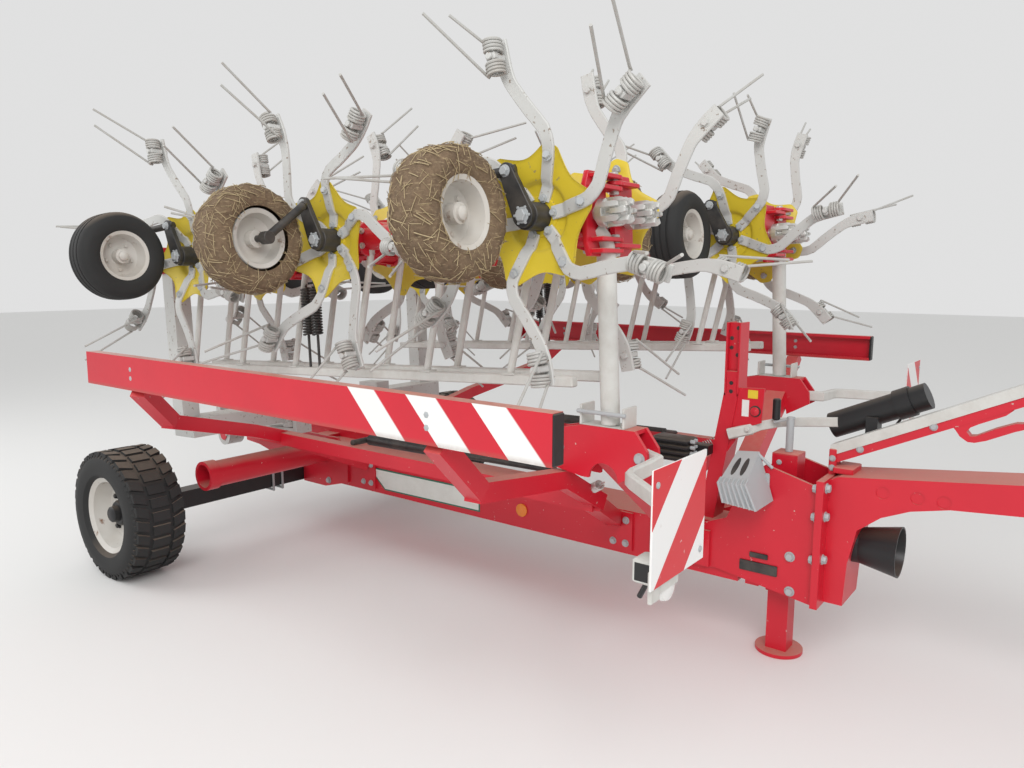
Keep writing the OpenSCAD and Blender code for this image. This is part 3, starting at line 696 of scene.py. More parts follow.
def guard(piece, outer):
    """A rail below the bar, with slanted rods up to it; an outer one has a post at its front."""
    rear = BAR_REAR + (0.09 if outer else 0.06)
    z = 0.975
    y = BAR_Y
    piece.box((rear, y - 0.018, z - 0.018), (-0.33, y + 0.018, z + 0.018), 0.004)
    for k in range(6):
        x = -2.57 + 0.395 * k
        piece.rod((x, y, z + 0.018), (x + 0.13, y, AXLE_Z - 0.039), 0.0135, 14)
        piece.box((x - 0.022, y - 0.021, z + 0.016), (x + 0.03, y + 0.021, z + 0.022), 0.001)
    if outer:
        piece.rod((-0.23, -0.8, 0.833), (-0.23, -0.8, 1.381), 0.031, 36)
        piece.tube([(-0.23, -0.8, 1.376), (-0.231, -0.803, 1.4), (-0.236, -0.812, 1.425),
                    (-0.244, -0.826, 1.445), (-0.252, -0.838, 1.458)], 0.0305, 24)


def bar_tubes(piece, knees, outer):
    z = AXLE_Z
    stops = [(x, HOUSING_END) for x in ROTOR_XS] + [(x, KNEE_END) for x in knees]
    edges = [BAR_REAR] + [x + end for x, half in sorted(stops) for end in (-half, half)] + [BAR_FRONT]
    for a, b in zip(edges[::2], edges[1::2]):
        piece.turned((a, BAR_Y, z), (b, BAR_Y, z), [(0.045, 0), (0.045, b - a)], 40)
    for x in knees:
        piece.rod((x - 0.08, BAR_Y, z), (x + 0.08, BAR_Y, z), 0.04, 36)
        pin_joint(piece, x)
    for x in ROTOR_XS:
        gear_housing(piece, x)
    piece.box((BAR_REAR, BAR_Y - 0.065, z - 0.065), (BAR_REAR + 0.03, BAR_Y + 0.065, z + 0.065), 0.003)
    with piece.moved(shift(BAR_FRONT, BAR_Y, z), rotate(90, "Y")):
        piece.plate([(-0.13, -0.04), (-0.13, 0.06), (0.13, 0.06), (0.13, -0.04), (0.09, -0.058),
                     (-0.09, -0.058)], 0.018)
    for low in ((-0.122, -0.086, 0.072, 0.108) if outer else (-0.104, 0.09)):
        piece.box((BAR_FRONT, BAR_Y - 0.036, z + low), (-0.19, -0.771, z + low + 0.014), 0.002)
        piece.rod((HINGE_X, FOLD_Y, z + low), (HINGE_X, FOLD_Y, z + low + 0.014), 0.026, 28)


def bar_steel(piece, knees, outer):
    z = AXLE_Z
    claw(piece, -0.186)
    for x in ROTOR_XS:
        housing_bolts(piece, x)
    for x in knees:
        for low, head, up in ((-0.13, 0, -1), (0.062, 0.068, 1)):
            piece.rod((x, BAR_Y, z + low), (x, BAR_Y, z + low + 0.068), 0.013, 20)
            piece.hex((x, BAR_Y, z + low + head), (0, 0, up), 0.034, 0.012)
        for a in (-0.026, 0.01):
            piece.rod((x + a, BAR_Y, z), (x + a + 0.016, BAR_Y, z), 0.058, 36)
    if outer:
        for low in (-0.132, 0.062):
            piece.rod((HINGE_X, FOLD_Y, z + low), (HINGE_X, FOLD_Y, z + low + 0.07), 0.014, 20)


def make_toolbars():
    knees = [x - 0.495 for x in reversed(ROTOR_XS[:2])]
    for letter in "abcd":
        outer = letter in "ad"
        body = "wing_right" if letter in "ab" else "wing_left"
        place = column(letter)
        bar = Piece("toolbar_tubes_" + letter, place)
        bar_tubes(bar, knees, outer)
        bar.done(body, red, hides=("toolbar_" + letter,))
        bright = Piece("claws_and_pins_" + letter, place)
        bar_steel(bright, knees, outer)
        bright.done(body, steel)
        legs = Piece("wheel_legs_" + letter, place)
        bolts = Piece("leg_bolts_" + letter, place)
        for i, x in enumerate(ROTOR_XS):
            wheel_leg(legs, x, 1 if i == 1 else -1)
            leg_bolts(bolts, x)
        legs.done(body, dark)
        bolts.done(body, zinc)
        rails = Piece("guard_" + letter, place)
        guard(rails, outer)
        rails.done(body, pale)


make_toolbars()


# Rotor wheels: a fat smooth tyre with ribs on a pressed rim; five of them are caked with mud and hay.
# The crust is the tyre's outline, roughened by two sizes of noise that fade out at its edges.
def mud_look():
    s = Shader("dried_mud", 0.95)
    grain = s.noise(55.0, 8.0, 0.7)
    stalks = s.noise(30.0, 5.0, 0.7, stretch=(1.0, 1.0, 5.0))
    tint = s.mix(grain.above(0.5, 0.25), (0.1, 0.065, 0.04), (0.24, 0.165, 0.1))
    s.colour(s.mix(stalks.above(0.62, 0.06), tint, (0.38, 0.29, 0.17)))
    s.bump(grain, 0.9, 0.008)
    return s.mat


def rim_look():
    s = Shader("rim_paint", 0.5)
    rust = s.noise(14.0, 6.0, 0.7)
    dust = s.noise(5.0, 3.0)
    tint = s.mix(dust.above(0.5, 0.3), (0.62, 0.61, 0.58), (0.48, 0.44, 0.39))
    s.colour(s.mix(rust.above(0.66, 0.05), tint, (0.2, 0.1, 0.055)))
    s.bump(rust, 0.2, 0.001)
    return s.mat


def straw_look():
    s = Shader("straw", 0.8)
    tone = s.noise(9.0, 3.0)
    s.colour(s.mix(tone.above(0.5, 0.25), (0.3, 0.22, 0.12), (0.52, 0.42, 0.25)))
    return s.mat


mud = mud_look()
rim = rim_look()
straw = straw_look()


def mirrored(half, middle=()):
    """A profile from one half of it, the points in its middle and the half mirrored."""
    return [*half, *middle, *((r, -z) for r, z in reversed(half))]


def clean_tyre(piece):
    piece.lathe(mirrored([
        (0.102, -0.06), (0.116, -0.071), (0.135, -0.075), (0.155, -0.075), (0.172, -0.071), (0.184, -0.058),
        (0.191, -0.043), (0.191, -0.034), (0.187, -0.032), (0.187, -0.026), (0.1922, -0.024),
        (0.1922, -0.005), (0.188, -0.003)]), 72)


def caked_tyre(piece, rng):
    crust = mirrored([(0.118, -0.072), (0.136, -0.078), (0.155, -0.079), (0.17, -0.076), (0.182, -0.068),
                      (0.19, -0.056), (0.194, -0.042), (0.196, -0.028), (0.197, -0.014)], [(0.197, 0)])
    crust.append((0.103, 0.061))
    fine = []
    for (r, z), (next_r, next_z) in zip(crust, crust[1:]):
        fine += [(r, z), (r + (next_r - r) * 0.5, z + (next_z - z) * 0.5)]
    fine.append(crust[-1])
    last, sides = len(fine) - 1, 150
    drift = Vector((rng.uniform(0, 50), rng.uniform(0, 50), rng.uniform(0, 50)))
    points = []
    for c, s in spokes(sides):
        for k, (r, z) in enumerate(fine):
            p = Vector((r * c, r * s, z))
            rough = noise.noise(p * 28 + drift) * 0.007 + noise.noise(p * 85 + drift) * 0.0045
            fade = min(1.0, k / 3, (last - k) / 3)
            out = Vector((c * 0.8, s * 0.8, 0.6 * (1 if z > 0 else -1) * min(1, abs(z) / 0.07)))
            points.append(p + out * rough * fade)
    piece.skin(points, sides)


# Stuck hay: bent straws scattered over a crust by Geometry Nodes, then kept as a plain mesh.
# Each lies along the surface and is turned at random about its normal.
def hay_tree():
    tree = bpy.data.node_groups.new("stuck_hay", "GeometryNodeTree")
    tree.interface.new_socket(name="Geometry", in_out="OUTPUT", socket_type="NodeSocketGeometry")
    for name, kind in (("Crust", "Geometry"), ("Straws per square metre", "Float"), ("Shortest", "Float"),
                       ("Longest", "Float"), ("Thickness", "Float"), ("Seed", "Int"), ("Finish", "Material")):
        tree.interface.new_socket(name=name, in_out="INPUT", socket_type="NodeSocket" + kind)

    def out(kind, inputs=None, output=0, **settings):
        return add_node(tree, kind, inputs, **settings).outputs[output]

    given = add_node(tree, "NodeGroupInput").outputs
    bow = out("GeometryNodeCurveQuadraticBezier",
              {"Resolution": 3, "Start": (-0.5, 0, 0.02), "Middle": (0, 0, 0.1), "End": (0.5, 0, 0.06)})
    ring = out("GeometryNodeCurvePrimitiveCircle", {"Resolution": 4, "Radius": 1.0})
    thin = out("ShaderNodeMath", {0: given["Thickness"], 1: given["Longest"]}, operation="DIVIDE")
    thin = out("ShaderNodeCombineXYZ", {"X": thin, "Y": thin, "Z": 1.0})
    ring = out("GeometryNodeTransform", {"Geometry": ring, "Scale": thin})
    stalk = out("GeometryNodeCurveToMesh", {"Curve": bow, "Profile Curve": ring, "Fill Caps": True})
    spots = add_node(tree, "GeometryNodeDistributePointsOnFaces", {
        "Mesh": given["Crust"], "Density": given["Straws per square metre"], "Seed": given["Seed"]}).outputs
    turn = out("FunctionNodeRandomValue", {2: 0.0, 3: tau, "Seed": given["Seed"]}, 1, data_type="FLOAT")
    turn = out("ShaderNodeCombineXYZ", {"Z": turn})
    turn = out("FunctionNodeEulerToRotation", {"Euler": turn})
    turn = out("FunctionNodeRotateRotation", {"Rotation": spots["Rotation"], "Rotate By": turn},
               rotation_space="LOCAL")
    long = out("FunctionNodeRandomValue",
               {2: given["Shortest"], 3: given["Longest"], "Seed": given["Seed"]}, 1, data_type="FLOAT")
    hay = out("GeometryNodeInstanceOnPoints",
              {"Points": spots["Points"], "Instance": stalk, "Rotation": turn, "Scale": long})
    hay = out("GeometryNodeRealizeInstances", {"Geometry": hay})
    hay = out("GeometryNodeSetMaterial", {"Geometry": hay, "Material": given["Finish"]})
    add_node(tree, "NodeGroupOutput", {"Geometry": hay})
    return tree


stuck_hay = hay_tree()


def straw_on(crust, name, body, seed):
    host = new_object(name, crust.data.copy())
    modifier = host.modifiers.new("hay", "NODES")
    modifier.node_group = stuck_hay
    wanted = {"Straws per square metre": 1700.0, "Shortest": 0.015, "Longest": 0.056, "Thickness": 0.0015,
              "Seed": seed, "Finish": straw}
    for item in stuck_hay.interface.items_tree:
        if item.name in wanted:
            modifier[item.identifier] = wanted[item.name]
    bpy.context.view_layer.update()
    scattered = bpy.data.meshes.new_from_object(host.evaluated_get(bpy.context.evaluated_depsgraph_get()))
    host.modifiers.clear()
    host.data = scattered
    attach(host, body)


def rotor_rim(piece):
    piece.lathe([(0.0128, -0.048), (0.032, -0.048), (0.032, -0.012), (0.06, -0.014), (0.08, -0.022),
                 (0.088, -0.042), (0.093, -0.06), (0.108, -0.066), (0.111, -0.061), (0.099, -0.052),
                 (0.096, -0.034), (0.096, 0.034), (0.099, 0.052), (0.111, 0.061), (0.108, 0.066),
                 (0.094, 0.06), (0.09, 0.03), (0.083, 0.006), (0.06, 0.002), (0.032, 0.004),
                 (0.032, 0.044), (0.0128, 0.044)], 48, loop=True)
    for c, s in spokes(5):
        piece.hex((0.058 * c, 0.058 * s, 0.002), (0, 0, 1), 0.014, 0.008)
    piece.lathe([(0, 0.062), (0.013, 0.061), (0.021, 0.055), (0.023, 0.045), (0.03, 0.043)], 24)


def make_rotor_wheels():
    rng = random.Random(8)
    for letter in "abcd":
        for i, x in enumerate(ROTOR_XS):
            name = f"{letter}{i + 1}"
            body = "wheel_" + name
            place = column(letter) @ shift(x + WHEEL_X, WHEEL_Y, AXLE_Z) @ rotate(-90 if i == 1 else 90, "Y")
            rubber = Piece("tyre_" + name, place)
            caked = name in ("a1", "a2", "b1", "c2", "d1")
            if caked:
                caked_tyre(rubber, rng)
            else:
                clean_tyre(rubber)
            crust = rubber.done(body, mud if caked else tyre, hides=(body,))
            wheel = Piece("rim_" + name, place)
            rotor_rim(wheel)
            wheel.done(body, rim)
            if caked:
                straw_on(crust, "straw_" + name, body, 8 + i)


make_rotor_wheels()


# Road wheels: a round-shouldered tyre with three rows of blocks on a deep silver rim.
# Blocks give where they begin and end across the tread, their part of a pitch, radii and skew.
SIDES = (("right", -1), ("left", 1))
BLOCKS = ((-0.118, -0.056, 0.0, 0.292, 0.3105, 0.01), (-0.044, 0.044, 0.5, 0.3, 0.3125, 0.0),
          (0.056, 0.118, 0.0, 0.292, 0.3105, -0.01))


def road_tyre(piece):
    piece.lathe(mirrored([(0.181, -0.104), (0.2, -0.128), (0.235, -0.135), (0.272, -0.131), (0.292, -0.115),
                          (0.3, -0.09), (0.303, -0.045)], [(0.304, 0)]), 96)
    count = 30
    lugs = ((0.262, 0.006, 0.131, 0.126), (0.296, 0.008, 0.119, 0.1))
    for k in range(count):
        for z0, z1, part, low, high, skew in BLOCKS:
            with piece.moved(Matrix.Rotation(tau * (k + part) / count, 4, "Z")):
                piece.loft([[(r, -w + skew, z0 + end), (r, w + skew, z0 + end),
                             (r, w - skew, z1 - end), (r, -w - skew, z1 - end)]
                            for r, w, end in ((low, 0.024, 0), (high, 0.022, 0.003))])
    for k in range(count * 2):
        with piece.moved(Matrix.Rotation(tau * k / count / 2, 4, "Z")):
            for z in (-1, 1):
                piece.loft([[(r, -w, z * far), (r, w, z * far), (r, w, z * near), (r, -w, z * near)]
                            for r, w, far, near in lugs])


def make_road_wheels():
    for side, sign in SIDES:
        body = "road_wheel_" + side
        place = shift(*joints["road_wheel_spin_" + side]["pos_m"]) @ rotate(-90 * sign, "X")
        rubber = Piece("road_tyre_" + side, place)
        road_tyre(rubber)
        rubber.done(body, tyre, hides=(body,))
        wheel = Piece("road_rim_" + side, place)
        wheel.lathe([(0.032, -0.02), (0.075, -0.02), (0.1, -0.03), (0.125, -0.012), (0.15, -0.02),
                     (0.16, -0.095), (0.184, -0.108), (0.188, -0.103), (0.17, -0.088), (0.166, 0),
                     (0.17, 0.088), (0.188, 0.103), (0.184, 0.108), (0.162, 0.095), (0.154, 0.045),
                     (0.14, 0.02), (0.118, 0.012), (0.1, 0.028), (0.075, 0.03), (0.032, 0.03)], 64, loop=True)
        wheel.done(body, rim)
        hub = Piece("road_hub_" + side, place)
        hub.lathe([(0.0301, 0.0), (0.062, 0.0), (0.062, 0.048), (0.055, 0.058), (0.04, 0.06), (0.038, 0.085),
                   (0.03, 0.092), (0, 0.094)], 36)
        for c, s in spokes(6):
            hub.hex((0.086 * c, 0.086 * s, 0.031), (0, 0, 1), 0.022, 0.016)
        hub.done(body, black)


make_road_wheels()


# Side panels: red sheet with three slanted white reflective stripes near the front end.
# Stripes are placed by their real size; the rear end is scuffed and the lower edge is dirty.
def panel_look():
    s = Shader("panel_stripes", 0.3)
    x, y, z = s.xyz()
    x = x - ahead
    slant = x - (1.149 - z) * 0.92
    cycle = (slant + 0.716) / 0.234
    band = cycle.fraction().below(0.475, 0.012)
    inside = cycle.above(0.0, 0.002) * cycle.below(2.9, 0.002)
    fine = s.noise(40.0, 6.0)
    cloud = s.noise(3.5, 3.0)
    base = s.mix(cloud.above(0.5, 0.3), (0.62, 0.012, 0.03), (0.52, 0.01, 0.026))
    outside = abs(y).above(1.4985, 0.0005)
    tint = s.mix(band * inside * outside, base, (0.8, 0.8, 0.78))
    scuffs = s.noise(16.0, 8.0, 0.75).above(0.7, 0.02) * x.below(-1.95, 0.15)
    tint = s.mix(scuffs, tint, (0.72, 0.66, 0.62))
    edge_dirt = abs(z - 1.022).below(0.006, 0.006) * fine
    tint = s.mix(edge_dirt * 0.7, tint, (0.25, 0.12, 0.08))
    up = s.normal_z().above(0.8, 0.1) * (fine * 0.5 + 0.35)
    s.colour(s.mix(up, tint, (0.5, 0.38, 0.3)))
    s.rough(fine * 0.2 + 0.22)
    s.bump(fine, 0.06, 0.001)
    return s.mat


def dress_panels():
    panel_stripes = panel_look()
    for side, sign in SIDES:
        nodes["side_panel_" + side].data.materials[0] = panel_stripes
        trim = Piece("panel_trim_" + side)
        y = sign * 1.4995
        trim.slot = 1
        for z in (1.101, 1.066):
            for x in (-0.405, -1.965):
                trim.hex((x, y - sign * 0.003, z), (0, sign, 0), 0.017, 0.0042)
        trim.slot = 0
        trim.box((-0.006, y, 1.02), (0.0045, y - sign * 0.045, 1.148), 0.003)
        trim.done("chassis", black, zinc)


dress_panels()


# Warning boards: striped plate on a bent grey tube, with a lamp box and its clear lens below.
# The stripes run down and outwards on the front face; the back stays white.
def board_look():
    s = Shader("board_stripes", 0.35)
    x, y, z = s.xyz()
    x = x - ahead
    across = (1.455 - abs(y)) / 0.283
    down = (1.042 - z) / 0.282
    cycle = (across + down + 0.6) / 1.1
    band = cycle.fraction().below(0.5, 0.006)
    grime = s.noise(7.0, 6.0, 0.7)
    white = s.mix(grime.above(0.6, 0.2), (0.8, 0.8, 0.79), (0.62, 0.6, 0.56))
    lines = s.mix(band, (0.62, 0.02, 0.03), (0.8, 0.8, 0.79))
    tint = s.mix((x - 0.2421).above(-0.0006, 0.0003), white, lines)
    s.colour(s.mix(s.noise(45.0, 4.0).above(0.68, 0.02) * 0.7, tint, (0.7, 0.68, 0.66)))
    s.bump(grime, 0.05, 0.001)
    return s.mat


def make_boards():
    board_stripes = board_look()
    glass = Shader("lamp_glass", 0.15)
    glass.bsdf["Base Color"].default_value = (0.75, 0.75, 0.73, 1)
    glass.bsdf["Coat Weight"].default_value = 0.6
    for side, sign in SIDES:
        sheet = Piece("board_" + side)
        sheet.box((0.237, sign * 1.455, 0.76), (0.2425, sign * 1.172, 1.042), 0.001)
        sheet.done("chassis", board_stripes, hides=("warning_board_" + side,))
        arm = Piece("board_arm_" + side)
        path = [(-0.12, 0.8, 0.902), (-0.056, 0.835, 0.899), (-0.052, 0.93, 0.895), (-0.055, 1.01, 0.891),
                (-0.048, 1.038, 0.89), (-0.026, 1.06, 0.889), (0.02, 1.095, 0.886), (0.11, 1.164, 0.88),
                (0.226, 1.252, 0.872)]
        arm.strip([(x, sign * y, z) for x, y, z in path], (0, 0, 1), 0.046, 0.024)
        arm.box((0.222, sign * 1.24, 0.8), (0.237, sign * 1.3, 0.92), 0.003)
        arm.slot = 1
        for y, z in ((1.435, 1.005), (1.195, 0.79)):
            arm.hex((0.2425, sign * y, z), (1, 0, 0), 0.011, 0.004)
        arm.done("chassis", pale, zinc)
        lamp = Piece("lamp_" + side)
        lamp.box((0.226, sign * 1.44, 0.722), (0.237, sign * 1.395, 0.8), 0.002)
        lamp.box((0.226, sign * 1.4, 0.735), (0.237, sign * 1.3, 0.775), 0.002)
        lamp.box((0.168, sign * 1.41, 0.752), (0.226, sign * 1.345, 0.812), 0.005)
        lamp.slot = 1
        lamp.turned((0.216, sign * 1.335, 0.735), (0.236, sign * 1.335, 0.735),
                    [(0, 0), (0.036, 0), (0.04, 0.004), (0.036, 0.014), (0.018, 0.019), (0, 0.02)], 28)
        lamp.slot = 2
        lamp.box((0.176, sign * 1.4106, 0.76), (0.218, sign * 1.408, 0.804))
        lamp.tube([(0.19, sign * 1.375, 0.755), (0.185, sign * 1.37, 0.735), (0.165, sign * 1.36, 0.7)],
                  0.007, 8)
        lamp.done("chassis", pale, glass.mat, black)


make_boards()


# Chassis trim: bare plates, reflectors, bolts and sensor covers on the long beam and the front box.
# The plates carry no words; a thin green edge stays on the long one.
def upright_plate(piece, outline, near, thick):
    """A plate in the XZ plane that stands out from y = near, away from the middle."""
    outline = [Vector((x, 0, z)) for x, z in outline]
    sign = -1 if near < 0 else 1
    piece.loft([[(p.x, near + sign * depth, p.z) for p in drawn_in(outline, inset)]
                for depth, inset in ((0, 0), (thick * 0.6, 0), (thick, 0.0015))])


def frame_bolts(piece, sign):
    for x, z in ((0.139, 0.438), (0.144, 0.305), (-2.773, 0.43), (-2.545, 0.422), (-2.761, 0.299),
                 (-2.471, 0.298)):
        piece.hex((x, sign * 0.1442, z), (0, sign, 0), 0.026, 0.013)
    for z in (0.45, 0.61, 0.715):
        piece.hex((0.2522, sign * 0.132, z), (1, 0, 0), 0.026, 0.014)
        piece.hex((0.2258, sign * 0.157, z), (-1, 0, 0), 0.026, 0.014)
    for pair in ((-0.61, -0.55), (-2.18, -2.12)):
        for z in (0.34, 0.44):
            for x in pair:
                piece.hex((x, sign * 0.1422, z), (0, sign, 0), 0.022, 0.011)
    for x in (-2.79, -2.69):
        for y in (sign * 0.3, sign * 0.36):
            piece.rod((x, y, 0.245), (x, y, 0.372), 0.007, 12)
            piece.hex((x, y, 0.372), (0, 0, 1), 0.02, 0.012)
    for y in (sign * 0.3, sign * 0.36):
        piece.rod((-2.792, y, 0.252), (-2.688, y, 0.252), 0.007, 12)


def make_trim():
    long_plate = [(-2.157, 0.426), (-1.361, 0.429), (-1.361, 0.318), (-2.026, 0.313)]
    inner = [(-2.135, 0.418), (-1.369, 0.421), (-1.369, 0.326), (-2.021, 0.321)]
    edge = flat_look("plate_edge", (0.015, 0.14, 0.09), 0.4)
    blank = flat_look("bare_plate", (0.74, 0.77, 0.73), 0.4, 0.0, 0.2)
    amber = flat_look("reflector_amber", (0.8, 0.22, 0.02), 0.25)
    for side, sign in SIDES:
        plates = Piece("beam_plate_" + side)
        upright_plate(plates, long_plate, sign * 0.1302, 0.002)
        plates.slot = 1
        upright_plate(plates, inner, sign * 0.1322, 0.0006)
        plates.slot = 2
        plates.turned((-1.106, sign * 0.13, 0.377), (-1.106, sign * 0.14, 0.377),
                      [(0, 0), (0.03, 0), (0.031, 0.006), (0.027, 0.009), (0, 0.0095)], 32)
        plates.done("chassis", edge, blank, amber)
        bolts = Piece("frame_bolts_" + side)
        frame_bolts(bolts, sign)
        bolts.done("chassis", zinc)
        covers = Piece("sensor_covers_" + side)
        covers.box((-0.049, sign * 0.1442, 0.349), (0.096, sign * 0.15, 0.39), 0.002)
        covers.box((-0.011, sign * 0.1442, 0.407), (0.059, sign * 0.152, 0.427), 0.002)
        covers.done("chassis", dark)


make_trim()


# Wheel chocks: a pressed wedge of grey sheet with two slots in its ramp and ribs on its near end.
# It hangs on a flat holder beside the front box, held by a short stay.
def make_chocks():
    chock = Piece("chocks_pressed")
    far_left, far_right = Vector((-0.074, -0.1525, 0.811)), Vector((0.01, -0.1525, 0.819))
    near_left, near_right = Vector((-0.074, -0.328, 0.722)), Vector((0.027, -0.328, 0.729))
    low_left, low_right = Vector((-0.05, -0.328, 0.652)), Vector((0.071, -0.328, 0.642))
    chock.loft([[low_left, low_right, (0.071, -0.1525, 0.642), (-0.05, -0.1525, 0.652)],
                [near_left, near_right, far_right, far_left]])
    for k in range(7):
        top, back, low = (left.lerp(right, k / 6) for left, right in
                          ((near_left, near_right), (far_left, far_right), (low_left, low_right)))
        chock.strip([top.lerp(back, 0.16), top + Vector((0, 0, 0.002)), low + Vector((0, -0.004, 0.002))],
                    (1, 0, 0), 0.0085, 0.01)
    chock.box((-0.04, -0.153, 0.65), (0.05, -0.1442, 0.74), 0.002)
    chock.box((0.018, -0.156, 0.675), (0.052, -0.1442, 0.735), 0.002)
    chock.rod((0.006, -0.158, 0.812), (0.062, -0.15, 0.762), 0.006, 12)
    # The two slots in the ramp are drawn as dark sheets just over it: painted shade of the openings.
    chock.slot = 1
    lift = (near_right - near_left).cross(far_left - near_left).normalized()
    for u in (0.32, 0.68):
        rings = []
        for high in (0.0004, 0.001):
            ring = []
            for c, s in spokes(20):
                near, back = near_left.lerp(near_right, u + 0.11 * c), far_left.lerp(far_right, u + 0.11 * c)
                ring.append(near.lerp(back, 0.52 + 0.26 * s) + lift * high)
            rings.append(ring)
        chock.loft(rings)
    chock.done("chassis", zinc, dark, hides=("chocks",))


make_chocks()


# Jack head: the square red tube over the leg, with its zinc screw, crank and black grip.
# It is four plates under a lid, so that the leg can slide inside.
def make_jack():
    x, half, wall, top = 0.07, 0.048, 0.007, 0.8
    head = Piece("jack_head")
    for sign in (-1, 1):
        inner, outer = sorted((sign * half, sign * (half - wall)))
        head.box((x + inner, -half, 0.25), (x + outer, half, top - 0.004), 0.001)
        head.box((x - half + wall, inner, 0.25), (x + half - wall, outer, top - 0.004), 0.001)
    head.box((x - half, -half, top - 0.005), (x + half, half, top), 0.002)
    head.slot = 1
    head.rod((x, 0, top), (x, 0, 0.935), 0.014, 24)
    head.strip([(x + 0.014, 0, 0.932), (x - 0.02, 0, 0.922), (x - 0.062, 0, 0.908)], (0, 1, 0), 0.018, 0.009)
    grip_x = x - 0.056
    head.rod((grip_x, 0, 0.905), (grip_x, 0, 0.918), 0.009, 14)
    head.hex((x - 0.02, -half, top - 0.035), (0, -1, 0), 0.014, 0.006)
    head.slot = 2
    head.rod((grip_x, 0, 0.917), (grip_x, 0, 1.0), 0.015, 20, 0.004)
    head.done("chassis", red, zinc, black, hides=("jack_tube",))


make_jack()


# Middle tower: a leaning box bar that ends in an upright channel, with a gusset plate and bare labels.
# A black valve block with its hose ends hangs on its rear side.
def make_tower():
    tower = Piece("tower_channel")
    tower.loft([[(rear, -0.05, z), (front, -0.05, z), (front, 0.05, z), (rear, 0.05, z)]
                for rear, front, z in ((-0.268, -0.205, 0.481), (-0.18, -0.122, 1.01))])
    tower.box((-0.33, -0.08, 0.48), (-0.16, 0.08, 0.496), 0.002)
    for x0, y0, x1, y1 in ((-0.18, -0.05, -0.173, 0.04), (-0.129, -0.05, -0.122, 0.04),
                           (-0.173, -0.03, -0.129, -0.024)):
        tower.box((x0, y0, 1.0), (x1, y1, 1.287), 0.001)
    tower.box((-0.173, -0.048, 1.0), (-0.129, -0.03, 1.098), 0.002)
    outline = [(-0.13, 1.035), (-0.02, 1.04), (-0.028, 0.905), (-0.073, 0.888), (-0.125, 0.868),
               (-0.126, 0.825), (-0.165, 0.765), (-0.172, 0.8), (-0.145, 0.95)]
    tower.loft([[(x, y, z) for x, z in outline] for y in (-0.045, -0.037)])

    def knob(x, near, far, z, profile, sides):
        tower.turned((x, near, z), (x, far, z), profile, sides)

    knob(-0.052, -0.045, -0.06, 0.949, [(0, 0), (0.016, 0), (0.017, 0.01), (0, 0.015)], 20)
    # The six small dark discs are the holes in the bar and the channel, drawn as painted shade; the larger dark
    # disc lies under the knob.
    tower.slot = 1
    for x, y, z in ((-0.152, -0.0482, 1.051), (-0.152, -0.0482, 1.018), (-0.139, -0.0302, 1.265),
                    (-0.164, -0.0302, 1.225), (-0.164, -0.0302, 1.188), (-0.139, -0.0302, 1.16)):
        knob(x, y + 0.0006, y - 0.0006, z, [(0, 0), (0.008, 0), (0.008, 0.0012), (0, 0.0012)], 16)
    knob(-0.052, -0.0448, -0.047, 0.949, [(0, 0), (0.022, 0), (0.022, 0.0022), (0, 0.0022)], 20)
    tower.slot = 2
    tower.box((-0.084, -0.0458, 0.998), (-0.045, -0.0449, 1.03))
    tower.slot = 3
    tower.box((-0.106, -0.0458, 0.925), (-0.078, -0.0449, 0.99))
    tower.done("chassis", red, dark, flat_look("bare_yellow_label", (0.75, 0.55, 0.03), 0.45),
               flat_look("bare_white_label", (0.78, 0.78, 0.76), 0.45), hides=("tower",))


def make_valve_block():
    block = Piece("valve_block")
    block.box((-0.425, -0.155, 0.738), (-0.28, -0.075, 0.826), 0.003)
    for k in range(4):
        low = 0.736 + 0.024 * k
        block.box((-0.436, -0.172, low), (-0.272, -0.068, low + 0.015), 0.004)
    block.box((-0.282, -0.1, 0.76), (-0.215, -0.049, 0.8), 0.002)
    block.slot = 1
    for k in range(4):
        z = 0.744 + 0.024 * k
        block.rod((-0.272, -0.14, z), (-0.252, -0.14, z), 0.008, 12)
        block.rod((-0.272, -0.105, z), (-0.258, -0.105, z), 0.007, 12)
    block.done("chassis", black, zinc)


make_tower()
make_valve_block()


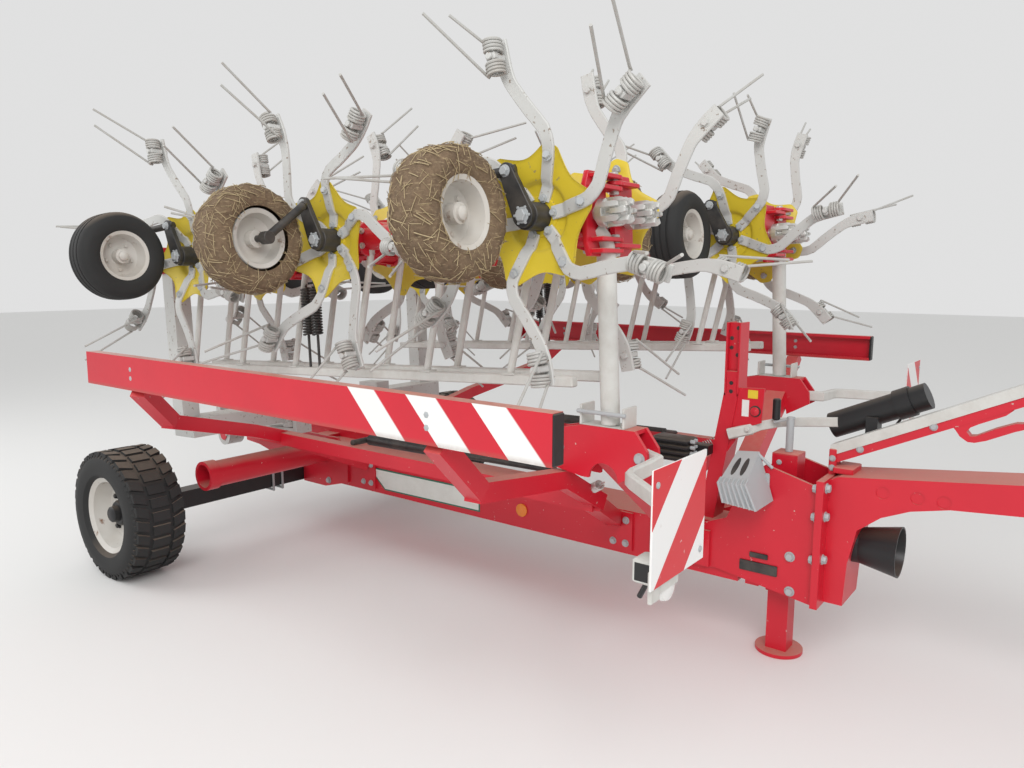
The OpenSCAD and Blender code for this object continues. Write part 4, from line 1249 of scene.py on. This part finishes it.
# Springs and rods inside the side panels: black hydraulic rods, tension springs and a flat grey link.
# A pair of long coils also stands between the guard and the bar of each outer toolbar.
def make_rods():
    for side, sign in SIDES:
        rods = Piece("hydraulic_rods_" + side)
        for start, end, radius, sides in (
                ((-1.728, 0.5, 0.69), (-1.15, 0.5, 0.6995), 0.024, 24),
                ((-1.15, 0.5, 0.6995), (-0.695, 0.5, 0.707), 0.012, 16),
                ((-1.74, 0.47, 0.69), (-1.74, 0.6, 0.69), 0.014, 16),
                ((-0.69, 0.47, 0.707), (-0.69, 0.6, 0.68), 0.012, 16)):
            rods.rod((start[0], sign * start[1], start[2]), (end[0], sign * end[1], end[2]), radius, sides)
        rods.done("chassis", dark)
        springs = Piece("tension_spring_" + side)
        a, b = Vector((-0.59, sign * 0.512, 0.607)), Vector((-0.33, sign * 0.7, 0.76))
        springs.coil(a.lerp(b, 0.12), a.lerp(b, 0.88), 0.016, 0.0028, 26)
        springs.rod(a, a.lerp(b, 0.13), 0.004, 8)
        springs.rod(a.lerp(b, 0.87), b, 0.004, 8)
        springs.done("chassis", steel)
    link = Piece("grey_link")
    path = [(-0.15, -0.065, 0.851), (-0.064, -0.04, 0.878), (-0.04, -0.02, 0.89), (0.018, 0.045, 0.902),
            (0.06, 0.045, 0.908), (0.23, 0.045, 0.927)]
    link.strip(path, (0, 0, 1), 0.036, 0.012)
    link.strip(path[:2], (0, 0, 1), 0.042, 0.026)
    link.hex((-0.076, -0.06, 0.878), (0, -1, 0), 0.016, 0.007)
    link.done("chassis", pale)
    for letter, body in (("a", "wing_right"), ("d", "wing_left")):
        pair = Piece("coil_pair_" + letter, column(letter))
        for x in (-1.675, -1.615):
            pair.coil((x, BAR_Y, 1.13), (x, BAR_Y, 1.33), 0.02, 0.0045, 17)
            pair.rod((x, BAR_Y, 0.993), (x, BAR_Y, 1.13), 0.006, 10)
            pair.rod((x, BAR_Y, 1.33), (x, BAR_Y, 1.462), 0.006, 10)
        pair.done(body, dark)


make_rods()


# Supply arm over the drawbar: a grey channel above a red bar of the same depth, which forks below.
# Its start is bolted to a red lug on the front flange.
def make_link_arm():
    arm = Piece("supply_arm")
    start, end = Vector((0.228, 0, 0.828)), Vector((1.4, 0, 1.385))
    channel = ((-0.03, 0.024), (-0.03, -0.017), (-0.027, -0.017), (-0.027, 0.021), (0.027, 0.021),
               (0.027, -0.017), (0.03, -0.017), (0.03, 0.024))
    bar = ((-0.026, 0.018), (-0.026, -0.05), (0.026, -0.05), (0.026, 0.018))
    for slot, section in enumerate((channel, bar)):
        arm.slot = slot
        arm.loft([[(c.x, y, c.z + z) for y, z in section] for c in (start, start.lerp(end, 0.5), end)])
    fork = [(0.6, 0.985), (0.625, 0.957), (0.639, 0.937), (0.663, 0.921), (0.683, 0.921), (0.716, 0.932),
            (0.795, 0.972), (0.818, 0.981), (1.056, 1.09), (1.06, 1.19), (1.028, 1.175), (1.018, 1.098),
            (0.817, 1.0), (0.794, 0.998), (0.738, 0.973), (0.685, 0.943), (0.669, 0.941), (0.658, 0.955),
            (0.667, 0.97), (0.692, 0.985), (0.765, 1.021), (0.785, 1.04), (0.7, 1.02)]
    arm.loft([[(x, y, z) for x, z in fork] for y in (-0.024, 0.024)])
    arm.box((0.226, -0.034, 0.74), (0.252, 0.034, 0.84), 0.003)
    arm.box((0.25, -0.06, 0.756), (0.32, 0.06, 0.78), 0.003)
    arm.slot = 2
    for x, y, z, across in ((0.239, -0.034, 0.77, 0.016), (0.239, -0.034, 0.805, 0.016),
                            (0.33, -0.0262, 0.85, 0.018), (0.56, -0.0262, 0.96, 0.018),
                            (1.2, -0.0262, 1.262, 0.018)):
        arm.hex((x, y, z), (0, -1, 0), across, 0.008)
    arm.done("chassis", pale, red, zinc, hides=("link_arm",))


make_link_arm()


# Cradle seats: grey clevises for the guards' posts, and bolts in the red saddles beside them.
# A pin runs through both cheeks of each clevis.
def make_seats():
    for side, sign in SIDES:
        seat = Piece("post_seat_" + side)
        near, far = sign * 0.842, sign * 0.758
        for x in (-0.345, -0.187):
            seat.box((x, near, 0.986), (x + 0.008, far, 1.052), 0.002)
        seat.box((-0.345, near, 0.9855), (-0.179, far, 0.987))
        seat.slot = 1
        seat.rod((-0.352, sign * 0.845, 1.03), (-0.172, sign * 0.845, 1.03), 0.007, 14)
        for x in (-0.42, -0.12):
            seat.hex((x, sign * 0.8452, 0.9), (0, sign, 0), 0.026, 0.012)
        seat.done("chassis", pale, zinc)


make_seats()
